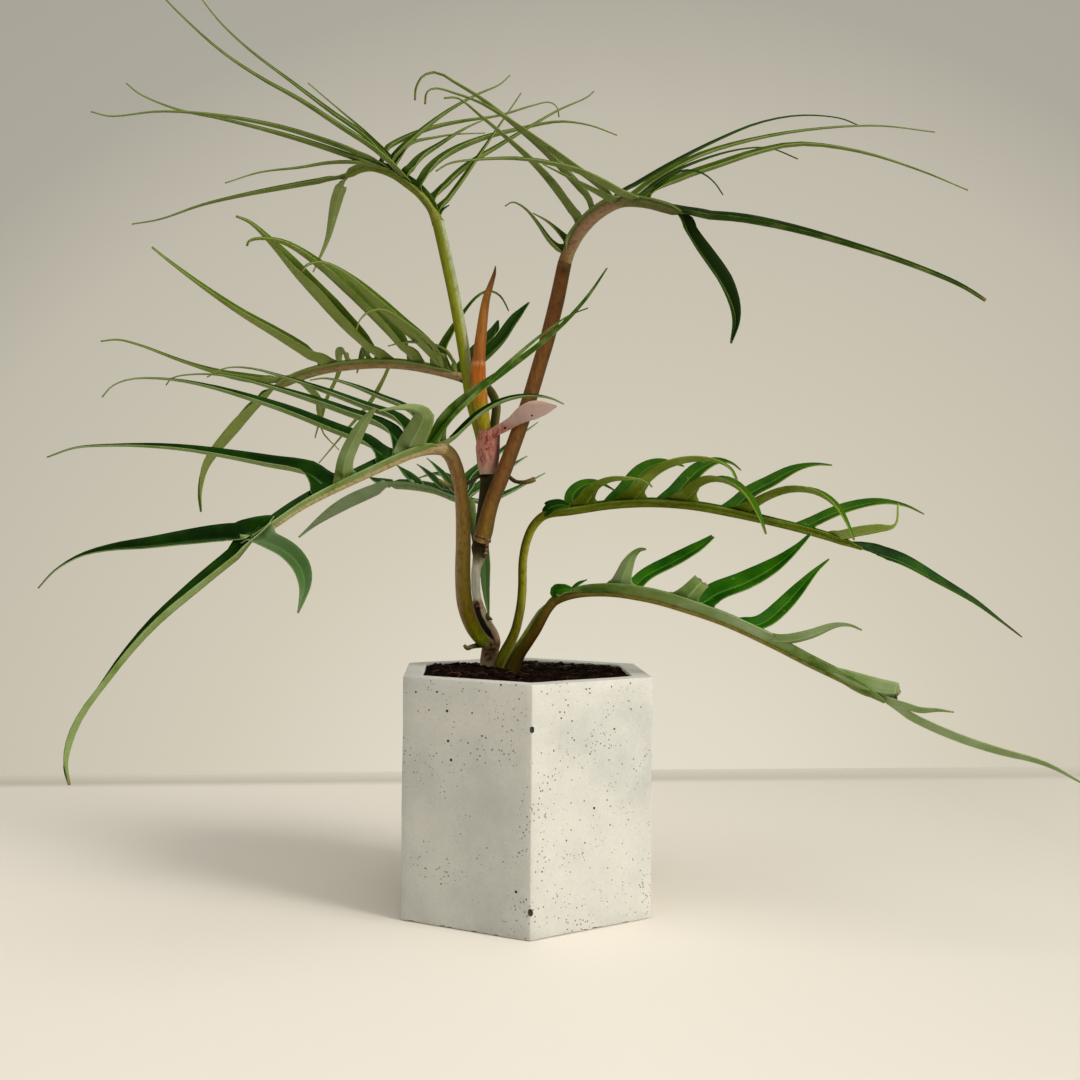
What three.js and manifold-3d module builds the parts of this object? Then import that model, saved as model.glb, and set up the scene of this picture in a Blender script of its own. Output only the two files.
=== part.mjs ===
// Potted fishbone philodendron: seven deeply cut leaves, a rolled new leaf and a short stem in a
// hexagonal concrete pot filled with bark compost. Millimetres, +Z up, origin at the centre of the
// pot's base, front towards -Y.
import * as THREE from 'three';
import { mergeVertices } from 'three/addons/utils/BufferGeometryUtils.js';
import Module from 'manifold-3d';

const wasm = await Module();
wasm.setup();

// Driving dimensions
const POT_CORNER_RADIUS = 60;
const POT_HEIGHT = 100.6;
const POT_WALL = 8;
const POT_BASE = 10;
const POT_CHAMFER = 0.8;
const POT_TURN = THREE.MathUtils.degToRad(3.4);
const SOIL_DROP = 4.4;
const SOIL_BUMP = 1.3;
const SOIL_SEGMENTS = 30;
const SOIL_RINGS = [0.94, 0.8, 0.64, 0.46, 0.26];
const GAP = 0.3;
const LEAFLET_THICKNESS = 0.8;
const WING_THICKNESS = 0.9;
const SHEATH_THICKNESS = 0.8;
const SHEATH_OPEN_ANGLE = 130;

// The routes are read off a level front view of the plant, 1080 units square. Each point is across,
// down, and the distance in millimetres that it stands in front of the pot's axis.
const VIEW_CENTRE = 540;
const VIEW_FOCAL = 1290;
const VIEW_DISTANCE = 566;
const VIEW_HEIGHT = 157.5;
const VIEW_SIDE = 6;
const VIEW_ROLL = THREE.MathUtils.degToRad(0.53);

function place([across, down, forward]) {
  const right = across - VIEW_CENTRE;
  const below = down - VIEW_CENTRE;
  const x = right * Math.cos(VIEW_ROLL) + below * Math.sin(VIEW_ROLL);
  const z = below * Math.cos(VIEW_ROLL) - right * Math.sin(VIEW_ROLL);
  const reach = (VIEW_DISTANCE - forward) / VIEW_FOCAL;
  return new THREE.Vector3(VIEW_SIDE + x * reach, -forward, VIEW_HEIGHT - z * reach);
}

function viewScale(point) {
  return (VIEW_DISTANCE + point.y) / VIEW_FOCAL;
}

// Solids
function toSolid(geometry) {
  geometry.deleteAttribute('normal');
  geometry.deleteAttribute('uv');
  const merged = mergeVertices(geometry, 1e-4);
  const mesh = new wasm.Mesh({
    numProp: 3,
    vertProperties: new Float32Array(merged.attributes.position.array),
    triVerts: new Uint32Array(merged.index.array),
  });
  return new wasm.Manifold(mesh);
}

function toGeometry(solid) {
  const mesh = solid.getMesh();
  const geometry = new THREE.BufferGeometry();
  geometry.setAttribute('position', new THREE.BufferAttribute(mesh.vertProperties, 3));
  geometry.setIndex(new THREE.BufferAttribute(mesh.triVerts, 1));
  return geometry;
}

function largestBody(solid) {
  return solid.decompose().reduce((a, b) => (b.volume() > a.volume() ? b : a));
}

// A section is extruded along unit depth and its points are then carried to the frames of a route
function carry(section, frames, shapeAt) {
  const steps = frames.length - 1;
  const geometry = new THREE.ExtrudeGeometry(section, { depth: 1, steps, bevelEnabled: false });
  const position = geometry.attributes.position;
  for (let i = 0; i < position.count; i += 1) {
    const station = Math.round(position.getZ(i) * steps);
    const frame = frames[station];
    const local = shapeAt(position.getX(i), position.getY(i), station);
    const point = frame.point.clone();
    point.addScaledVector(frame.side, local.side).addScaledVector(frame.normal, local.normal);
    position.setXYZ(i, point.x, point.y, point.z);
  }
  return toSolid(geometry);
}

function framesAlong(points, facing) {
  const last = points.length - 1;
  let normal = facing.clone();
  return points.map((point, i) => {
    const tangent = points[Math.min(i + 1, last)].clone().sub(points[Math.max(i - 1, 0)]).normalize();
    const projected = facing.clone().addScaledVector(tangent, -facing.dot(tangent));
    if (projected.length() < 0.35) {
      projected.copy(normal).addScaledVector(tangent, -normal.dot(tangent));
    }
    normal = projected.normalize();
    const side = normal.clone().cross(tangent);
    return { point, tangent, normal, side };
  });
}

function polygon(points) {
  return new THREE.Shape(points.map(([x, y]) => new THREE.Vector2(x, y)));
}

function roundSection(sides) {
  const turn = (i) => (2 * Math.PI * (i + 0.5)) / sides;
  return polygon(Array.from({ length: sides }, (_, i) => [Math.cos(turn(i)), Math.sin(turn(i))]));
}

function valueAlong(values, t) {
  const at = t * (values.length - 1);
  const i = Math.min(Math.floor(at), values.length - 2);
  return THREE.MathUtils.lerp(values[i], values[i + 1], at - i);
}

// Stems and petioles: round rods whose widths are read at each point of their route
const ROD_FACING = new THREE.Vector3(0, -1, 0.05).normalize();

function rodFrames(route, stepsPerSpan) {
  const curve = new THREE.CatmullRomCurve3(route.map(place));
  const steps = (route.length - 1) * stepsPerSpan;
  const points = Array.from({ length: steps + 1 }, (_, i) => curve.getPoint(i / steps));
  return framesAlong(points, ROD_FACING);
}

function rod({ route, widths, sides = 8, stepsPerSpan = 1 }, grow = 0) {
  const frames = rodFrames(route, stepsPerSpan);
  const last = frames.length - 1;
  const radius = (i) => (valueAlong(widths, i / last) * viewScale(frames[i].point)) / 2 + grow;
  return carry(roundSection(sides), frames, (x, y, i) => ({ side: x * radius(i), normal: y * radius(i) }));
}

// Leaflets: thin blades folded along the midrib, widest before the middle and drawn to a narrow tip
const FOLD = 0.42;
const BLADE_SECTION = polygon([
  [-1, FOLD + 0.5], [0, 0.5], [1, FOLD + 0.5], [1, FOLD - 0.5], [0, -0.5], [-1, FOLD - 0.5],
]);
const BLADE_PROFILE = [0.5, 0.86, 1, 1, 0.9, 0.7, 0.22];
const STATION_SPACING = 15;
const MOST_STATIONS = 8;
const LEAST_HALF_WIDTH = 0.55;
const ROOT_MERGE = 3;

function seenShare(frame) {
  const seen = new THREE.Vector3(frame.side.x, 0, frame.side.z);
  const along = new THREE.Vector3(frame.tangent.x, 0, frame.tangent.z).normalize();
  return seen.addScaledVector(along, -seen.dot(along)).length();
}

function leaflet({ width, route, profile = BLADE_PROFILE }, rachisCurve, facing) {
  const points = route.map(place);
  const root = nearestOn(rachisCurve, points[0]);
  if (points[0].distanceTo(root) < ROOT_MERGE) {
    points.shift();
  }
  points.unshift(root);
  const curve = new THREE.CatmullRomCurve3(points, false, 'centripetal');
  const wanted = Math.round(curve.getLength() / STATION_SPACING) + 2;
  const steps = THREE.MathUtils.clamp(wanted, 3, MOST_STATIONS);
  const frames = framesAlong(curve.getSpacedPoints(steps), facing);
  const middle = frames[Math.round(steps / 2)];
  const fullHalf = (width * viewScale(middle.point)) / 2 / Math.max(seenShare(middle), 0.62);
  return carry(BLADE_SECTION, frames, (x, y, i) => {
    const half = Math.max(fullHalf * valueAlong(profile, i / steps), LEAST_HALF_WIDTH);
    const top = y > Math.abs(x) * FOLD;
    const lift = (Math.abs(x) - 0.5) * FOLD * half;
    return { side: x * half, normal: lift + (top ? 0.5 : -0.5) * LEAFLET_THICKNESS };
  });
}

function nearestOn(curve, point) {
  const samples = curve.getSpacedPoints(120);
  return samples.reduce((a, b) => (b.distanceTo(point) < a.distanceTo(point) ? b : a)).clone();
}

// Rachis: the rib of the leaf beyond the petiole, with a thin green wing along each side
const RIB_CORE = 0.36;
const RIB_SECTION = polygon([
  [-1, 0.4], [-RIB_CORE, 1], [RIB_CORE, 1], [1, 0.4], [1, -0.4], [RIB_CORE, -1], [-RIB_CORE, -1], [-1, -0.4],
]);
const RIB_RADIUS_SHARE = 0.3;

function rachis({ widths }, curve, facing) {
  const steps = Math.max(6, Math.round(curve.getLength() / 12));
  const points = curve.getSpacedPoints(steps);
  const start = points[1].clone().sub(points[0]).normalize();
  points[0].addScaledVector(start, GAP);
  const frames = framesAlong(points, facing);
  return carry(RIB_SECTION, frames, (x, y, i) => {
    const half = (valueAlong(widths, i / steps) * viewScale(frames[i].point)) / 2;
    const isWing = Math.abs(x) === 1;
    const depth = isWing ? WING_THICKNESS / 2 : Math.max(half * RIB_RADIUS_SHARE, 0.8);
    return { side: x * half, normal: Math.sign(y) * depth };
  });
}

function leafBlade(leaf) {
  const facing = new THREE.Vector3(...leaf.facing).normalize();
  const curve = new THREE.CatmullRomCurve3(leaf.rachis.route.map(place), false, 'centripetal');
  const rib = rachis(leaf.rachis, curve, facing);
  return leaf.leaflets.reduce((whole, one) => whole.add(leaflet(one, curve, facing)), rib);
}

// Plant pieces
const STEM = {
  route: [
    [490, 735, -20], [490, 700, -20], [490, 676, -20], [490, 660, -20], [492, 648, -20], [495, 636, -20],
    [490, 622, -20], [484, 610, -20], [479, 599, -20], [476, 585, -20], [477, 570, -20], [479, 556, -19.5],
    [481, 546, -19], [481, 535, -20], [481, 520, -20], [484, 500, -20], [487, 481, -19.5], [487, 475, -18.5],
  ],
  widths: [12, 17, 19, 20, 12, 10, 10, 11, 9, 9, 9, 13, 17, 12, 10, 11, 14, 16],
  sides: 10,
};

const AERIAL_ROOTS = [
  {
    route: [
      [485, 478, -20], [474, 481, -24], [469, 484, -26], [455, 486, -24], [447, 482, -22],
      [441, 480, -20],
    ],
    widths: [5, 5, 6, 5, 5, 4],
  },
  {
    route: [
      [487, 478, -20], [500, 480, -24], [512, 479, -22], [520, 481, -20], [528, 480, -18],
      [536, 480, -17],
    ],
    widths: [5, 5, 5, 5, 5, 5],
  },
  { route: [[486, 645, -20], [480, 645, -14], [472, 646, -10], [465, 648, -8]], widths: [6, 5, 6, 4] },
  { route: [[486, 616, -20], [487, 618, -18], [492, 619.5, -15.5]], widths: [4, 4, 3] },
];

const NEW_LEAF_SPIKE = {
  route: [
    [488, 472.5, -15.2], [488, 452, -15], [485.5, 432, -14.5], [482.5, 415, -13], [479.5, 395, -12],
    [478.7, 362, -11], [480.6, 340, -11], [486, 300, -11], [491, 284, -11], [495.5, 266, -10],
  ],
  widths: [8.5, 9, 11, 14, 16, 14, 13, 11, 8, 1.6],
};

const UPPER_LEFT = {
  facing: [-0.2, -0.5, 0.84],
  petiole: {
    route: [
      [484, 472.5, -19.6], [480.5, 440, -18.8], [471, 400, -16.5], [463, 345, -15], [455, 300, -14],
      [447, 262, -14], [441, 235, -14], [438, 223, -14],
    ],
    widths: [8.5, 9, 11, 12, 12, 12, 12, 12],
  },
  rachis: {
    route: [
      [438, 223, -14], [431, 206, -16], [420, 192, -20], [406, 181, -26], [390, 171, -34],
      [372, 166, -42], [358, 169, -49], [346, 177, -55],
    ],
    widths: [13, 14, 13, 12, 12, 10, 8],
  },
  leaflets: [
    {
      width: 6,
      route: [
        [346, 177, -55], [320, 180, -58], [280, 187, -62], [240, 195, -66], [200, 205, -69],
        [160, 219, -72], [132, 224, -74],
      ],
    },
    {
      width: 10,
      route: [[346, 178, -55], [338, 195, -59], [333, 215, -64], [327, 240, -69], [313, 272, -74]],
    },
    {
      width: 4,
      route: [
        [383, 168, -37], [360, 162, -30], [330, 162, -25], [300, 167, -20], [260, 172, -14],
        [225, 183, -10],
      ],
    },
    {
      width: 6,
      route: [
        [388, 167, -34], [360, 153, -27], [320, 138, -20], [280, 126, -14], [220, 115, -8],
        [160, 111, -2], [110, 116, 2], [91, 111.5, 3],
      ],
    },
    {
      width: 6,
      route: [
        [394, 172, -33], [360, 159, -30], [320, 145, -27], [280, 133, -24], [220, 118, -20],
        [180, 110, -18], [140, 94, -16], [126, 83, -15],
      ],
    },
    {
      width: 7,
      route: [
        [408, 178, -24], [380, 152, -17], [340, 125, -10], [300, 99, -4], [260, 77, 0],
        [220, 50, 4], [180, 14, 8], [155, -12, 10],
      ],
    },
    {
      width: 6,
      route: [
        [402, 172, -28], [370, 139, -24], [330, 110, -20], [290, 80, -17], [250, 50, -14],
        [220, 22, -12], [195, -10, -10],
      ],
    },
    { width: 3, route: [[394, 163, -32], [370, 136, -33], [340, 110, -34], [308, 83, -35]] },
    { width: 5, route: [[438, 217, -15], [441, 210, -16], [449, 205, -18]] },
    {
      width: 5,
      route: [
        [437, 214, -15], [452, 192, -15], [468, 170, -16], [484, 147, -18], [500, 124, -20],
        [521, 93, -24],
      ],
    },
    {
      width: 6,
      route: [
        [434, 200, -17], [450, 179, -19], [470, 162, -22], [500, 144, -25], [530, 126, -29],
        [560, 109, -33], [587, 97, -37], [594, 91, -38],
      ],
    },
    {
      width: 7,
      route: [
        [422, 182, -20], [432, 165, -24], [450, 151, -29], [480, 138, -35], [520, 128, -42],
        [560, 121, -48], [590, 125, -52], [617, 135, -56],
      ],
    },
    {
      width: 7,
      route: [[409, 171, -26], [420, 156, -30], [440, 143, -35], [465, 128, -41], [485, 119, -46]],
    },
    {
      width: 6,
      route: [
        [395, 155, -31], [415, 135, -34], [445, 112, -38], [475, 95, -42], [500, 84, -46],
        [510, 75, -48],
      ],
    },
    {
      width: 5,
      route: [
        [387, 149, -36], [405, 137, -42], [435, 126, -50], [465, 120, -57], [500, 115, -64],
        [530, 106, -69], [550, 102, -73], [557, 107, -75], [559, 117, -76],
      ],
    },
    {
      width: 4,
      route: [[399, 158, -32], [412, 142, -44], [435, 137, -52], [455, 134, -60], [485, 133, -68]],
    },
  ],
};

const UPPER_RIGHT = {
  facing: [0.1, -0.55, 0.83],
  petiole: {
    route: [
      [481, 545, -17], [484, 537, -14], [495, 500, -11.5], [501, 480, -11], [512, 450, -11.5],
      [529, 400, -11], [541, 360, -8], [547, 340, -6], [557, 300, -1], [565, 262, 5],
    ],
    widths: [12, 14, 15, 15, 15, 15, 15, 15, 15, 12],
  },
  rachis: {
    route: [
      [565, 262, 5], [570, 247, 6], [578, 233, 8], [590, 219, 12], [605, 208, 17], [622, 201, 22],
      [645, 202, 28], [668, 208, 34], [682, 213, 38],
    ],
    widths: [14, 15, 15, 14, 13, 12, 12, 10],
  },
  leaflets: [
    {
      width: 5,
      route: [[564, 255, 6], [550, 240, 7], [538, 223, 9], [525, 208, 11], [513, 202, 13], [505, 206, 14]],
    },
    { width: 5, route: [[569, 245, 5], [558, 230, 2], [546, 220, 0], [533, 213, -2]] },
    {
      width: 9,
      route: [
        [578, 232, 8], [575, 215, 10], [560, 192, 15], [540, 168, 20], [510, 140, 28], [480, 115, 35],
        [458, 98, 40], [444, 98, 42],
      ],
    },
    {
      width: 8,
      route: [
        [591, 218, 12], [588, 198, 14], [570, 175, 18], [540, 145, 24], [510, 120, 30], [480, 97, 36],
        [455, 82, 41], [437, 72, 45], [423, 76, 48], [416, 88, 50], [415, 100, 51],
      ],
    },
    {
      width: 7,
      route: [
        [609, 203, 18], [600, 186, 24], [570, 163, 34], [540, 141, 44], [510, 120, 52], [480, 102, 60],
        [455, 93, 66], [436, 88, 70], [427, 92, 72], [425, 104, 73],
      ],
    },
    {
      width: 8,
      route: [
        [636, 202, 26], [615, 188, 38], [585, 172, 52], [555, 163, 64], [520, 158, 74], [480, 159, 84],
        [450, 163, 90], [436, 171, 93],
      ],
    },
    { width: 6, route: [[618, 204, 21], [600, 193, 32], [575, 180, 44], [555, 170, 54], [543, 164, 60]] },
    {
      width: 4,
      route: [
        [616, 197, 17], [640, 181, 8], [680, 158, -4], [720, 138, -14], [760, 122, -22], [800, 115, -28],
        [840, 118, -33], [858, 125, -36],
      ],
    },
    {
      width: 5,
      route: [
        [632, 196, 20], [660, 175, 10], [700, 154, 0], [760, 137, -12], [820, 128, -22],
        [880, 125.5, -30], [935, 132, -37],
      ],
    },
    {
      width: 3,
      route: [
        [640, 196, 23], [665, 176, 16], [700, 160, 8], [740, 149, 0], [770, 148, -6], [798, 159, -10],
      ],
    },
    {
      width: 7,
      route: [
        [646, 196, 26], [680, 177, 20], [720, 163, 14], [760, 150, 8], [800, 143, 2], [860, 151, -6],
        [920, 170, -14], [968, 190, -20],
      ],
    },
    { width: 3, route: [[644, 197, 24], [680, 171, 26], [700, 172, 28], [714, 182, 30], [723, 195, 31]] },
    {
      width: 10,
      route: [
        [672, 210, 36], [700, 213, 40], [740, 216, 46], [790, 226, 52], [850, 243, 58], [910, 263, 63],
        [960, 284, 67], [986, 300, 69],
      ],
    },
    {
      width: 17,
      route: [
        [680, 214, 38], [696, 236, 43], [712, 258, 48], [726, 280, 53], [735, 305, 57], [736, 322, 59],
        [731, 343, 61],
      ],
    },
  ],
};

const MIDDLE_LEFT = {
  facing: [-0.2, -0.4, 0.89],
  petiole: {
    route: [
      [483, 498, -21], [484, 488, -23.5], [488, 455, -27], [495, 420, -28], [496, 404, -30],
      [490, 391, -33], [478, 382, -36], [464, 379, -39],
    ],
    widths: [7, 8, 9, 9, 9, 9, 9, 9],
    stepsPerSpan: 2,
  },
  rachis: {
    route: [
      [464, 379, -39], [440, 373, -40], [410, 367, -43], [380, 365, -46], [350, 367, -50],
      [320, 372, -54], [295, 380, -58], [275, 389, -62],
    ],
    widths: [10, 11, 11, 11, 11, 11, 10],
  },
  leaflets: [
    {
      width: 13,
      route: [
        [275, 389, -62], [250, 408, -67], [232, 428, -73], [214, 450, -79], [204, 468, -83],
        [200, 490, -86], [201, 512, -88],
      ],
    },
    {
      width: 9,
      route: [
        [287, 383, -59], [262, 379, -62], [220, 372, -66], [180, 360, -70], [140, 344, -74],
        [101, 341, -78],
      ],
    },
    {
      width: 12,
      route: [
        [330, 369, -53], [312, 354, -46], [280, 334, -38], [240, 310, -30], [200, 283, -23],
        [168, 260, -18], [152, 247, -15],
      ],
    },
    {
      width: 15,
      route: [
        [385, 364, -45], [372, 348, -40], [345, 320, -33], [320, 293, -27], [295, 267, -21],
        [270, 240, -16], [250, 222, -12], [236, 216, -10],
      ],
    },
    {
      width: 10,
      route: [
        [415, 367, -42], [404, 344, -36], [375, 312, -29], [345, 284, -23], [315, 260, -17],
        [285, 242, -12], [262, 238, -9], [249, 241, -7], [247, 246, -7],
      ],
    },
    {
      width: 9,
      route: [
        [440, 372, -40], [432, 350, -33], [405, 322, -26], [375, 296, -19], [345, 272, -13],
        [322, 262, -9], [307, 265, -7], [302, 272, -6],
      ],
    },
    {
      width: 4,
      route: [[456, 377, -39.5], [448, 352, -34], [425, 343, -30], [405, 342, -27], [388, 346, -25]],
    },
    {
      width: 4,
      route: [
        [445, 372, -40], [430, 342, -24], [408, 324, -18], [385, 310, -14], [370, 311, -12],
        [360, 320, -11], [356, 331, -10],
      ],
    },
    {
      width: 6,
      route: [[348, 366, -51], [346, 350, -60], [340, 352, -70], [340, 370, -78], [331, 388, -84]],
    },
    { width: 5, route: [[370, 364, -48], [366, 348, -58], [362, 358, -68], [357, 373, -75]] },
    {
      width: 9,
      route: [[296, 382, -59], [306, 387, -66], [316, 398, -73], [320, 415, -79], [315, 438, -84]],
    },
    { width: 3, route: [[392, 365, -46], [372, 400, -72], [345, 432, -88], [319, 463, -98]] },
    { width: 3, route: [[345, 368, -52], [325, 405, -78], [322, 430, -86], [339, 450, -90]] },
    {
      width: 10,
      route: [[456, 377, -40], [475, 362, -45], [500, 338, -51], [515, 317, -57], [529, 302, -63]],
    },
    { width: 9, route: [[454, 376, -40], [474, 350, -50], [492, 332, -58], [498, 320, -64]] },
    {
      width: 8,
      route: [
        [448, 375, -41], [441, 352, -46], [450, 332, -51], [464, 311, -57], [478, 295, -62],
        [490, 290, -66], [501, 296, -70], [509, 311, -73],
      ],
    },
  ],
};

const FRONT_LEFT = {
  facing: [-0.1, -0.55, 0.83],
  petiole: {
    route: [
      [493, 650, -18], [481, 640, -11], [470, 624, -7], [462, 600, -3], [459, 570, 0], [460, 540, 2],
      [463, 505, 5], [461, 480, 8], [456, 462, 11], [449, 450, 14],
    ],
    widths: [12, 15, 15, 14, 14, 14, 14, 14, 14, 14],
  },
  rachis: {
    route: [
      [449, 450, 14], [435, 446, 18], [415, 450, 23], [390, 460, 30], [360, 474, 39], [330, 488, 48],
      [300, 504, 57], [272, 523, 66], [250, 538, 72],
    ],
    widths: [14, 16, 16, 15, 15, 14, 14, 12],
  },
  leaflets: [
    {
      width: 15,
      profile: [0.6, 0.9, 1, 0.95, 0.7, 0.4, 0.5, 0.2],
      route: [
        [250, 538, 72], [225, 558, 78], [190, 587, 86], [155, 618, 93], [125, 652, 99],
        [100, 686, 104], [85, 706, 106], [72, 730, 108], [66, 757, 109], [70, 785, 110],
      ],
    },
    {
      width: 10,
      route: [
        [436, 446, 18], [447, 417, 17], [470, 395, 15], [500, 374, 13], [535, 348, 11],
        [565, 322, 9], [588, 296, 8], [607, 268, 7],
      ],
    },
    {
      width: 4,
      route: [
        [432, 447, 19], [450, 420, 20], [480, 390, 20], [512, 360, 19], [545, 332, 17],
        [570, 315, 16], [588, 308, 15],
      ],
    },
    {
      width: 6,
      route: [
        [443, 447, 16], [458, 432, 15], [480, 412, 15], [505, 399, 16], [530, 395, 17],
        [550, 398, 18], [564, 404, 19],
      ],
    },
    {
      width: 20,
      route: [
        [405, 454, 26], [412, 432, 33], [422, 416, 40], [418, 409, 47], [402, 408, 54], [388, 411, 58],
      ],
    },
    { width: 16, route: [[343, 483, 44], [345, 462, 50], [354, 440, 57], [365, 421, 64], [373, 410, 69]] },
    {
      width: 14,
      route: [
        [326, 489, 49], [305, 468, 44], [270, 461, 40], [230, 454, 36], [190, 448, 33],
        [150, 445, 31], [110, 445, 30], [75, 447.5, 29], [47, 457, 28],
      ],
    },
    {
      width: 11,
      route: [
        [388, 461, 31], [366, 441, 27], [330, 426, 22], [290, 410, 18], [250, 397, 14],
        [210, 386, 11], [170, 379, 8], [130, 379, 6], [112, 386, 5], [102, 397, 4],
      ],
    },
    {
      width: 10,
      route: [
        [405, 454, 26], [388, 427, 21], [350, 412, 16], [310, 398, 12], [270, 386, 8],
        [230, 376, 5], [195, 374, 2], [172, 378, 0], [166, 385, -1],
      ],
    },
    {
      width: 9,
      route: [
        [418, 450, 23], [400, 419, 17], [365, 405, 12], [325, 390, 8], [285, 377, 4],
        [250, 368, 1], [225, 368, -1], [207, 377, -2],
      ],
    },
    {
      width: 6,
      route: [[430, 447, 19], [412, 411, 12], [380, 396, 8], [350, 384, 4], [325, 378, 1], [310, 380, 0]],
    },
    {
      width: 18,
      route: [
        [250, 537, 72], [225, 532, 66], [190, 536, 60], [150, 542, 55], [110, 547, 51],
        [80, 555, 48], [55, 570, 46], [38, 588, 45],
      ],
    },
    {
      width: 18,
      route: [
        [258, 536, 72], [272, 541, 80], [290, 552, 87], [302, 568, 93], [305, 585, 97],
        [302, 600, 99], [298, 613, 100],
      ],
    },
  ],
};

const MIDDLE_RIGHT = {
  facing: [0.1, -0.5, 0.86],
  petiole: {
    route: [
      [504, 705, -13.5], [506, 664, -12], [511, 642, -11], [517, 615, -9], [521, 585, -8], [522, 560, -7],
      [526, 540, -6], [534, 524, -5], [545, 514, -4],
    ],
    widths: [8.5, 8.5, 8.5, 8.5, 8.5, 8.5, 8.5, 8.5, 8.5],
    stepsPerSpan: 2,
  },
  rachis: {
    route: [
      [545, 514, -4], [570, 509, -3], [610, 503, -2], [650, 501, -1], [690, 504, 0], [730, 512, 0],
      [770, 521, 0], [810, 531, -1], [845, 542, -3], [862, 549, -4],
    ],
    widths: [9, 10, 10, 10, 10, 9, 9, 8],
  },
  leaflets: [
    { width: 9, route: [[552, 512, -4], [547, 504, 2], [554, 499, 6], [563, 499, 10], [569, 506, 13]] },
    {
      width: 10,
      route: [[575, 507, -3], [573, 494, -8], [583, 484, -13], [598, 482, -18], [616, 491, -22]],
    },
    {
      width: 7,
      route: [[582, 506, -3], [593, 490, 3], [608, 480, 8], [628, 478, 12], [645, 481, 16], [652, 487, 18]],
    },
    {
      width: 16,
      route: [[618, 502, -2], [630, 485, -8], [645, 468, -14], [662, 461, -19], [684, 466, -24]],
    },
    {
      width: 9,
      route: [
        [630, 501, -1], [646, 481, 5], [665, 466, 10], [690, 459, 14], [715, 460, 18],
        [730, 468, 21], [737, 480, 23],
      ],
    },
    {
      width: 14,
      route: [
        [668, 502, -1], [682, 485, -7], [700, 467, -13], [718, 460, -18], [732, 463, -22],
        [741, 470, -25],
      ],
    },
    {
      width: 9,
      route: [
        [684, 503, 0], [695, 485, 6], [712, 477, 11], [730, 480, 16], [747, 493, 20],
        [758, 512, 23], [766, 534, 25],
      ],
    },
    {
      width: 12,
      route: [
        [732, 512, 0], [748, 493, -6], [770, 481, -12], [795, 468, -17], [815, 464, -21],
        [832, 465, -24],
      ],
    },
    {
      width: 9,
      route: [
        [745, 515, 0], [765, 498, 6], [790, 489, 11], [815, 491, 16], [834, 503, 20],
        [846, 521, 23], [854, 540, 25],
      ],
    },
    {
      width: 9,
      route: [
        [802, 528, -1], [822, 517, -7], [850, 506, -12], [880, 501, -17], [905, 505, -21],
        [924, 514, -24],
      ],
    },
    { width: 9, route: [[835, 538, -2], [855, 532, 4], [878, 528, 9], [895, 525, 13], [898, 503, 15]] },
    {
      width: 13,
      route: [
        [862, 549, -4], [885, 553, -5], [905, 560, -6], [940, 580, -8], [975, 601, -10],
        [1000, 620, -12], [1022, 637, -13],
      ],
    },
  ],
};

const LOWER_RIGHT = {
  facing: [0.15, -0.55, 0.82],
  petiole: {
    route: [[506, 715, -5], [512, 674, -4.5], [518, 655, -3], [530, 632, 1], [543, 612, 5], [554, 599, 8]],
    widths: [17, 18, 17, 16, 15, 13],
    stepsPerSpan: 2,
  },
  rachis: {
    route: [
      [554, 599, 8], [575, 594, 11], [610, 592, 15], [650, 598, 19], [690, 610, 23], [730, 625, 27],
      [770, 643, 31], [810, 661, 35], [850, 681, 39], [885, 702, 42],
    ],
    widths: [13, 14, 15, 15, 14, 14, 13, 12, 9],
  },
  leaflets: [
    {
      width: 8,
      route: [
        [885, 702, 42], [920, 721, 44], [960, 738, 47], [1000, 751, 49], [1035, 760, 51],
        [1055, 768, 52], [1075, 779, 53], [1095, 790, 54],
      ],
    },
    { width: 8, route: [[564, 594, 10], [557, 588, 13], [561, 584, 16], [568, 586, 19]] },
    { width: 6, route: [[572, 590, 10], [578, 582, 4], [587, 579, 0]] },
    { width: 14, route: [[615, 590, 15], [622, 570, 20], [631, 556, 24], [640, 550, 28], [646, 549, 30]] },
    {
      width: 12,
      profile: [0.6, 0.9, 1, 1, 0.9, 0.6],
      route: [[630, 591, 14], [645, 575, 8], [675, 559, 2], [700, 545, -3], [713, 536, -6]],
    },
    { width: 22, profile: [0.5, 1, 1, 0.85], route: [[682, 606, 23], [690, 592, 27], [703, 580, 31]] },
    {
      width: 18,
      route: [
        [696, 609, 22], [715, 592, 19], [745, 580, 16], [775, 564, 13], [797, 547, 11], [811, 533, 9],
      ],
    },
    {
      width: 15,
      route: [
        [742, 629, 27], [765, 620, 22], [782, 606, 18], [800, 587, 14], [815, 571, 11], [829, 559, 8],
      ],
    },
    {
      width: 11,
      route: [
        [762, 640, 31], [785, 639, 36], [810, 634, 41], [835, 625, 45], [850, 625, 48], [862, 630, 50],
      ],
    },
    {
      width: 14,
      profile: [0.8, 1, 1, 0.8],
      route: [[845, 680, 38], [865, 688, 41], [885, 691, 44], [903, 693, 46]],
    },
    { width: 7, route: [[892, 702, 42], [906, 706, 45], [920, 710, 47], [938, 710, 49], [954, 712, 51]] },
  ],
};

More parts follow.
